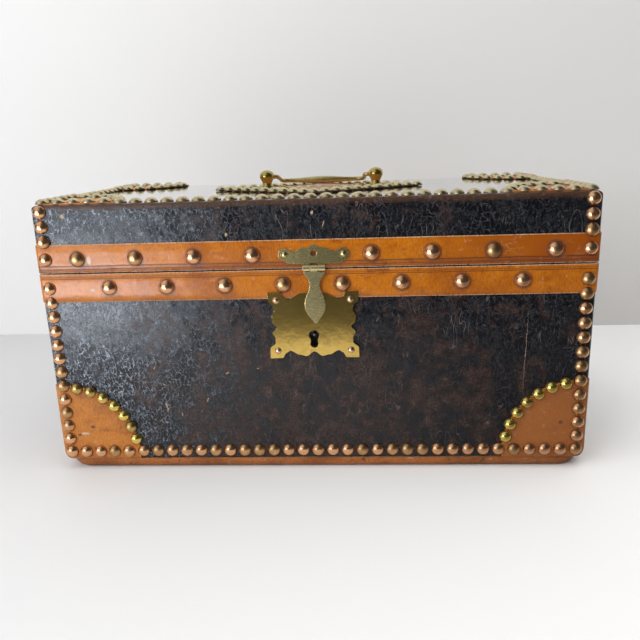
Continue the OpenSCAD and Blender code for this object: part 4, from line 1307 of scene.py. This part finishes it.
@dataclass(frozen=True)
class Metalwork:
    """Lock plate, hasp, handle and small pins, with eased edges in millimetres and smooth turned faces."""

    plate_ease: float = 0.45
    leaf_ease: float = 0.4
    tongue_ease: float = 0.5
    fitting_ease: float = 0.3
    nut_ease: float = 0.2
    thin_ease: float = 0.15
    eased_sharp: float = 22.0
    turned_sharp: float = 42.0

    def piece(self, node: str, body: str, slot: Slot, material: Material, ease: float) -> None:
        """Make one piece from its CAD node.

        Args:
            node: The CAD node.
            body: Its body.
            slot: Its material slot; not used.
            material: Its material.
            ease: Width of its rounded edges, or 0 for none.
        """
        piece = merged_copy(node, node + "_metal")
        if ease > 0.0:
            ease_edges(piece, ease * MM)
        smooth(piece, self.eased_sharp if ease > 0.0 else self.turned_sharp)
        settle(piece, body, node, material)

    def build(self, finishes: dict[str, Material]) -> None:
        """Make every metal piece.

        Args:
            finishes: The materials by name.
        """
        brass, fitting, iron = Slot.OLD_BRASS, Slot.BRASS_FITTINGS, Slot.IRON
        pieces = [
            ("lock_plate", "case", brass, "plate", self.plate_ease),
            ("hasp_leaf", "lid", brass, "leaf", self.leaf_ease),
            ("hasp_tongue", "hasp", brass, "tongue", self.tongue_ease),
            ("hasp_staple", "hasp", fitting, "fittings", self.fitting_ease),
        ]
        for side in ("left", "right"):
            pieces += [
                ("handle_rose_" + side, "lid", brass, "rose", self.fitting_ease),
                ("handle_post_" + side, "lid", fitting, "post", 0.0),
                ("hinge_case_leaf_" + side, "case", fitting, "fittings", self.thin_ease),
                ("hinge_lid_leaf_" + side, "lid", fitting, "fittings", self.thin_ease),
            ]
        pieces += [
            ("handle_bail", "handle", brass, "bail", 0.0),
            ("handle_rose_pins", "lid", fitting, "pins", 0.0),
            ("handle_nuts", "lid", fitting, "fittings", self.nut_ease),
            ("hasp_leaf_pins", "lid", fitting, "pins", 0.0),
            ("hasp_hinge_pin", "lid", brass, "plate", 0.0),
            ("lock_plate_pins", "case", fitting, "copper_pins", 0.0),
            ("lock_drill_pin", "case", iron, "iron", self.thin_ease),
            ("lock_screws", "case", iron, "iron", 0.0),
            ("lock_cap", "case", iron, "iron", self.nut_ease),
            ("lock_bolt", "lock_bolt", iron, "iron", self.thin_ease),
        ]
        for node, body, slot, finish, ease in pieces:
            self.piece(node, body, slot, finishes[finish], ease)


# Stage


@dataclass(frozen=True)
class Lamp:
    """A soft lamp that gloss doesn't show, or a window that only gloss shows."""

    name: str
    place: tuple[float, float, float]
    aim: tuple[float, float, float]
    size: tuple[float, float]
    power: float
    colour: tuple[float, float, float]
    window: bool = False

    def build(self) -> None:
        """Hang the lamp, turned to its aim."""
        data = bpy.data.lights.new(self.name, "AREA")
        data.shape = "RECTANGLE"
        data.size, data.size_y = self.size
        data.energy = self.power
        data.color = self.colour
        lamp = linked(self.name, data)
        lamp.location = self.place
        way = Vector(self.aim) - Vector(self.place)
        lamp.rotation_euler = way.to_track_quat("-Z", "Y").to_euler()
        lamp.visible_glossy = self.window
        lamp.visible_diffuse = not self.window
        lamp.visible_camera = False


# Colour of the windows' light, and the point of the room that they face, in metres
PANE = (0.84, 0.91, 1.0)
FRONT = (0.0, -0.10, 0.10)
# Two lamps, and the two halves of a window below and above the floor's level
LAMPS = (
    Lamp("side", (-0.60, -0.64, 0.52), (-0.06, -0.10, 0.08), (0.8, 0.7), 8.0, (0.98, 0.99, 1.0)),
    Lamp("overhead", (0.20, -0.25, 1.50), (0.05, 0.05, 0.0), (1.8, 1.4), 21.0, (1.0, 0.992, 0.98)),
    Lamp("window_low", (-0.97, -1.26, -0.42), FRONT, (1.10, 0.77), 33.0, PANE, True),
    Lamp("window_high", (-1.02, -1.26, 0.28), FRONT, (1.10, 0.70), 7.0, PANE, True),
)


@dataclass(frozen=True)
class Stage:
    """Pale floor and wall, soft light and the camera."""

    # The floor is painted darker at the left, where the lamps fall strongest, so that it looks even: painted
    # shade.
    floor_left: Colour = shade(0.52, 0.52, 0.525)
    floor_right: Colour = shade(0.88, 0.88, 0.88)
    # The wall is painted a little darker at the right: painted shade.
    wall_left: Colour = shade(0.76, 0.76, 0.76)
    wall_right: Colour = shade(0.73, 0.72, 0.71)
    dark: Colour = shade(0.040, 0.030, 0.024)
    plain: Colour = shade(0.62, 0.60, 0.58)
    plain_strength: float = 0.25
    backdrop: Colour = shade(0.66, 0.66, 0.66)
    dim_strength: float = 0.07
    reach: float = 3.0
    wall_top: float = 2.0
    wall_y: float = 0.253
    floor_end: float = -0.42
    camera: tuple[float, float, float] = (28.56, -507.2, 216.42)
    yaw: float = 0.0599
    pitch: float = 0.2619
    roll: float = -0.0321
    focal_px: float = 642.54
    image_px: float = 640.0

    def place_camera(self) -> None:
        """Create the camera at the photograph's viewing angle."""
        side, rise = math.sin(self.yaw), math.sin(self.pitch)
        level = math.cos(self.pitch)
        forward = Vector((-side * level, math.cos(self.yaw) * level, -rise))
        right = Vector((math.cos(self.yaw), side, 0.0))
        up = right.cross(forward)
        level_right = right * math.cos(self.roll) + up * math.sin(self.roll)
        level_up = up * math.cos(self.roll) - right * math.sin(self.roll)
        data = bpy.data.cameras.new("camera")
        data.sensor_width = 36.0
        data.lens = 36.0 * self.focal_px / self.image_px
        data.clip_start = 0.01
        data.clip_end = 20.0
        camera = linked("camera", data)
        turned = Matrix((level_right, level_up, -forward)).transposed().to_4x4()
        camera.matrix_world = Matrix.Translation(Vector(self.camera) * MM) @ turned
        bpy.context.scene.camera = camera

    def sheet(self, name: str, corners: Sequence[Sequence[float]]) -> Piece:
        """Make one flat sheet of the stage.

        Args:
            name: Its name.
            corners: Its corners in metres.

        Returns:
            The sheet.
        """
        mesh = bpy.data.meshes.new(name)
        mesh.from_pydata([tuple(c) for c in corners], [], [tuple(range(len(corners)))])
        piece = linked(name, mesh)
        return piece

    def floor_material(self) -> Material:
        """Paint the pale floor, darker at the left in painted shade; gloss sees it fade to the right.

        Returns:
            The material.
        """
        p = Pattern("stage_floor")
        x, y, _ = p.axes(p.place)
        mirror = p.add("ShaderNodeLightPath", out="Is Glossy Ray")
        dim = x.step(-10.0, 170.0, 0.0, 0.8) * y.step(-60.0, -160.0)
        plain = p.mix(x.step(-420.0, 420.0), self.floor_left, self.floor_right)
        colour = p.mix(mirror * dim, plain, self.dark)
        return p.surface({"Roughness": 0.55, "Specular IOR Level": 0.2}, Base_Color=colour)

    def wall_material(self) -> Material:
        """Paint the wall, white at the left and a little greyer at the right in painted shade, and open from
        behind.

        Returns:
            The material.
        """
        p = Pattern("stage_wall")
        x = p.axes(p.place)[0]
        colour = p.mix(x.step(-420.0, 420.0), self.wall_left, self.wall_right)
        paint = p.add("ShaderNodeBsdfDiffuse", inputs={"Color": colour})
        behind = p.add("ShaderNodeNewGeometry", out="Backfacing")
        open_air = p.add("ShaderNodeBsdfTransparent")
        mixed = p.add("ShaderNodeMixShader", inputs={0: behind, 1: paint, 2: open_air})
        p.add("ShaderNodeOutputMaterial", inputs={"Surface": mixed})
        return p.material

    def light(self) -> None:
        """Add the lamps, and a room whose dark corners only gloss sees."""
        for lamp in LAMPS:
            lamp.build()
        world = bpy.data.worlds.new("room")
        world.use_nodes = True
        bpy.context.scene.world = world
        room = Graph(world.node_tree)
        room.tree.nodes.clear()
        x, _, z = room.axes(room.add("ShaderNodeTexCoord", out="Generated"))
        upper = x.step(0.30, -0.45) * z.step(0.2, 0.6) * 0.9

        def sky(colour: Colour, strength: Wire | float) -> Wire:
            """Return one background of the room."""
            return room.add("ShaderNodeBackground", inputs={"Color": colour, "Strength": strength})

        seen = room.add("ShaderNodeLightPath", out="Is Glossy Ray")
        direct = room.add("ShaderNodeLightPath", out="Is Camera Ray")
        plain = sky(self.plain, self.plain_strength)
        glint = sky(shade(*PANE), upper + self.dim_strength)
        mixed = room.add("ShaderNodeMixShader", inputs={0: seen, 1: plain, 2: glint})
        mixed = room.add("ShaderNodeMixShader", inputs={0: direct, 1: mixed, 2: sky(self.backdrop, 1.0)})
        room.add("ShaderNodeOutputWorld", inputs={"Surface": mixed})

    def build(self) -> None:
        """Make the stage and set the view."""
        far, edge, deep = self.reach, self.floor_end, self.wall_y
        paint = self.floor_material()
        floor = self.sheet("stage_floor", [(-far, edge, 0), (far, edge, 0), (far, far, 0), (-far, far, 0)])
        floor.data.materials.append(paint)
        corners = [(-far, -far, 0), (far, -far, 0), (far, edge, 0), (-far, edge, 0)]
        front = self.sheet("stage_floor_front", corners)
        front.data.materials.append(paint)
        front.visible_glossy = False
        front.visible_shadow = False
        top = self.wall_top
        corners = [(-far, deep, 0), (far, deep, 0), (far, deep, top), (-far, deep, top)]
        wall = self.sheet("stage_wall", corners)
        wall.data.materials.append(self.wall_material())
        self.light()
        bpy.context.scene.view_settings.view_transform = "Standard"


# Whole box


def make_finishes(sizes: BoxSizes) -> dict[str, Material]:
    """Build every material.

    Args:
        sizes: Sizes of the box.

    Returns:
        The materials by name.
    """
    front = -sizes.depth / 2
    case_low, case_high = sizes.case_strap_low, sizes.seam_z - sizes.seam_half
    lid_low, lid_high = sizes.seam_z + sizes.seam_half, sizes.lid_strap_top
    case_rings = tuple(sizes.front_strap(0.5))
    lid_rings = tuple(sizes.front_strap(1.0))
    kinds = {
        "black": BlackLeather(front, sizes.lid_top),
        "case_strap": TanLeather(
            lines=(case_high - 2.2, case_high - 3.3), edges=(case_low, case_high),
            # The pale spot near the strap's left end is a painted sheen.
            rings=(case_rings, sizes.case_strap_z), spots=(Chip(-146.0, 130.0, 2.0, 1.2, 1.0),),
        ),
        "lid_strap": TanLeather(
            lines=(lid_low + 2.2, lid_low + 4.4), edges=(lid_low, lid_high), painted_right_shade=0.95,
            band=(lid_low + 3.0, lid_low + 6.0),
            rings=(lid_rings, sizes.lid_strap_z),
            # The pale spot near the left end is a painted sheen; the dark spot in the middle is painted shade
            # under the hasp leaf.
            spots=(Chip(-146.0, 150.0, 1.6, 3.4, 1.0), Chip(1.5, 151.2, 2.3, 2.3)),
        ),
        "patch": TanLeather(
            base=shade(0.56, 0.205, 0.034), dark=shade(0.24, 0.075, 0.018),
            rough=0.34, gloss=0.25, painted_right_shade=0.8, scuffs=0.3,
            spots=(
                Chip(-157.8, 32.0, 1.9, 1.5), Chip(-164.0, 27.0, 3.6, 1.2, 1.0), Chip(-168.0, 26.0, 1.6, 1.2),
                Chip(164.0, 33.0, 1.8, 1.6),
            ),
        ),
        # Paler and greyer than the other patches: partly its own leather, partly a painted reflection of the
        # pale wall.
        "handle_patch": TanLeather(
            base=shade(0.40, 0.22, 0.12), dark=shade(0.22, 0.11, 0.06), rough=0.18, gloss=0.7, scuffs=0.4
        ),
        "plinth": TanLeather(
            base=shade(0.44, 0.155, 0.045), dark=shade(0.18, 0.056, 0.017),
            rough=0.40, gloss=0.15, scuffs=0.45, painted_right_shade=0.45, cracks=0.85,
        ),
        "plate": AgedBrass(shine=0.12, flat_axis=1),
        "tongue": AgedBrass(bright=shade(0.56, 0.46, 0.22), shine=0.24, age=0.5, flat_axis=1),
        "leaf": AgedBrass(bright=shade(0.52, 0.42, 0.18), shine=0.23, age=0.5, flat_axis=1),
        "rose": AgedBrass(flat_axis=2),
        "post": AgedBrass(bright=shade(0.50, 0.37, 0.10), shine=0.17, age=0.7),
        "bail": AgedBrass(bright=shade(0.58, 0.46, 0.19), shine=0.22, age=0.7),
        "fittings": AgedBrass(bright=shade(0.60, 0.44, 0.16), shine=0.28, age=0.6),
        "pins": AgedBrass(bright=shade(0.66, 0.50, 0.22), shine=0.20, age=0.5),
        "copper_pins": AgedBrass(bright=shade(0.78, 0.52, 0.33), shine=0.20, age=0.3),
        "copper": NailMetal(),
        "brass": NailMetal(bright=shade(0.78, 0.58, 0.15), second=shade(0.66, 0.48, 0.16), shine=0.14),
        "paper": LiningPaper(),
        "pine": PineWood(),
        "iron": DullIron(),
    }
    return {name: kind.build("box_" + name) for name, kind in kinds.items()}


def set_nails(case: Case, lid: Lid, finishes: dict[str, Material]) -> None:
    """Set every row, column and arc of nails.

    Args:
        case: The case.
        lid: The lid.
        finishes: The materials by name.
    """
    tree = NailTree("nail_heads")
    seed = FIRST_SEED
    for part in (case, lid):
        s = part.sizes
        kinds = (
            ("_edge_nails", Slot.COPPER_NAILS, s.small_head, part.edge_spots(), "copper"),
            ("_patch_nails", Slot.BRASS_NAILS, s.arc_head, part.patch_spots(), "brass"),
            ("_strap_nails", Slot.COPPER_NAILS, s.large_head, part.strap_spots(), "copper"),
        )
        for kind, slot, head, spots, metal in kinds:
            NailSet(part.body + kind, part.body, slot, head, seed).build(tree, spots, finishes[metal])
            seed += 1


def dress_rest(finishes: dict[str, Material]) -> None:
    """Give every CAD node that still shows its finish.

    Args:
        finishes: The materials by name.
    """
    by_slot = {
        Slot.BLACK_LEATHER.value: "black",
        Slot.TAN_LEATHER.value: "patch",
        Slot.PINE.value: "pine",
        Slot.PAPER.value: "paper",
        Slot.COPPER_NAILS.value: "copper",
        Slot.BRASS_NAILS.value: "brass",
        Slot.OLD_BRASS.value: "plate",
        Slot.BRASS_FITTINGS.value: "fittings",
        Slot.IRON.value: "iron",
    }
    slots = {part["node"]: part["material_slot"] for part in frame["record"]["subparts"]}
    for name, node in sorted(frame["nodes"].items()):
        if node.hide_render:
            continue
        finish = by_slot[slots[name]]
        node.data.materials.clear()
        node.data.materials.append(finishes[finish])
        LOG.info("%s keeps its CAD mesh, in %s", name, finish)


def main() -> None:
    """Build the stage and the box, one sub-assembly after the other."""
    logging.basicConfig(level=logging.INFO, format="%(name)s: %(message)s")
    stage = Stage()
    stage.place_camera()
    stage.build()
    sizes = BoxSizes()
    finishes = make_finishes(sizes)
    set_nails(Case(sizes), Lid(sizes), finishes)
    Skins().build(finishes)
    Metalwork().build(finishes)
    dress_rest(finishes)


if __name__ == "__main__":
    main()
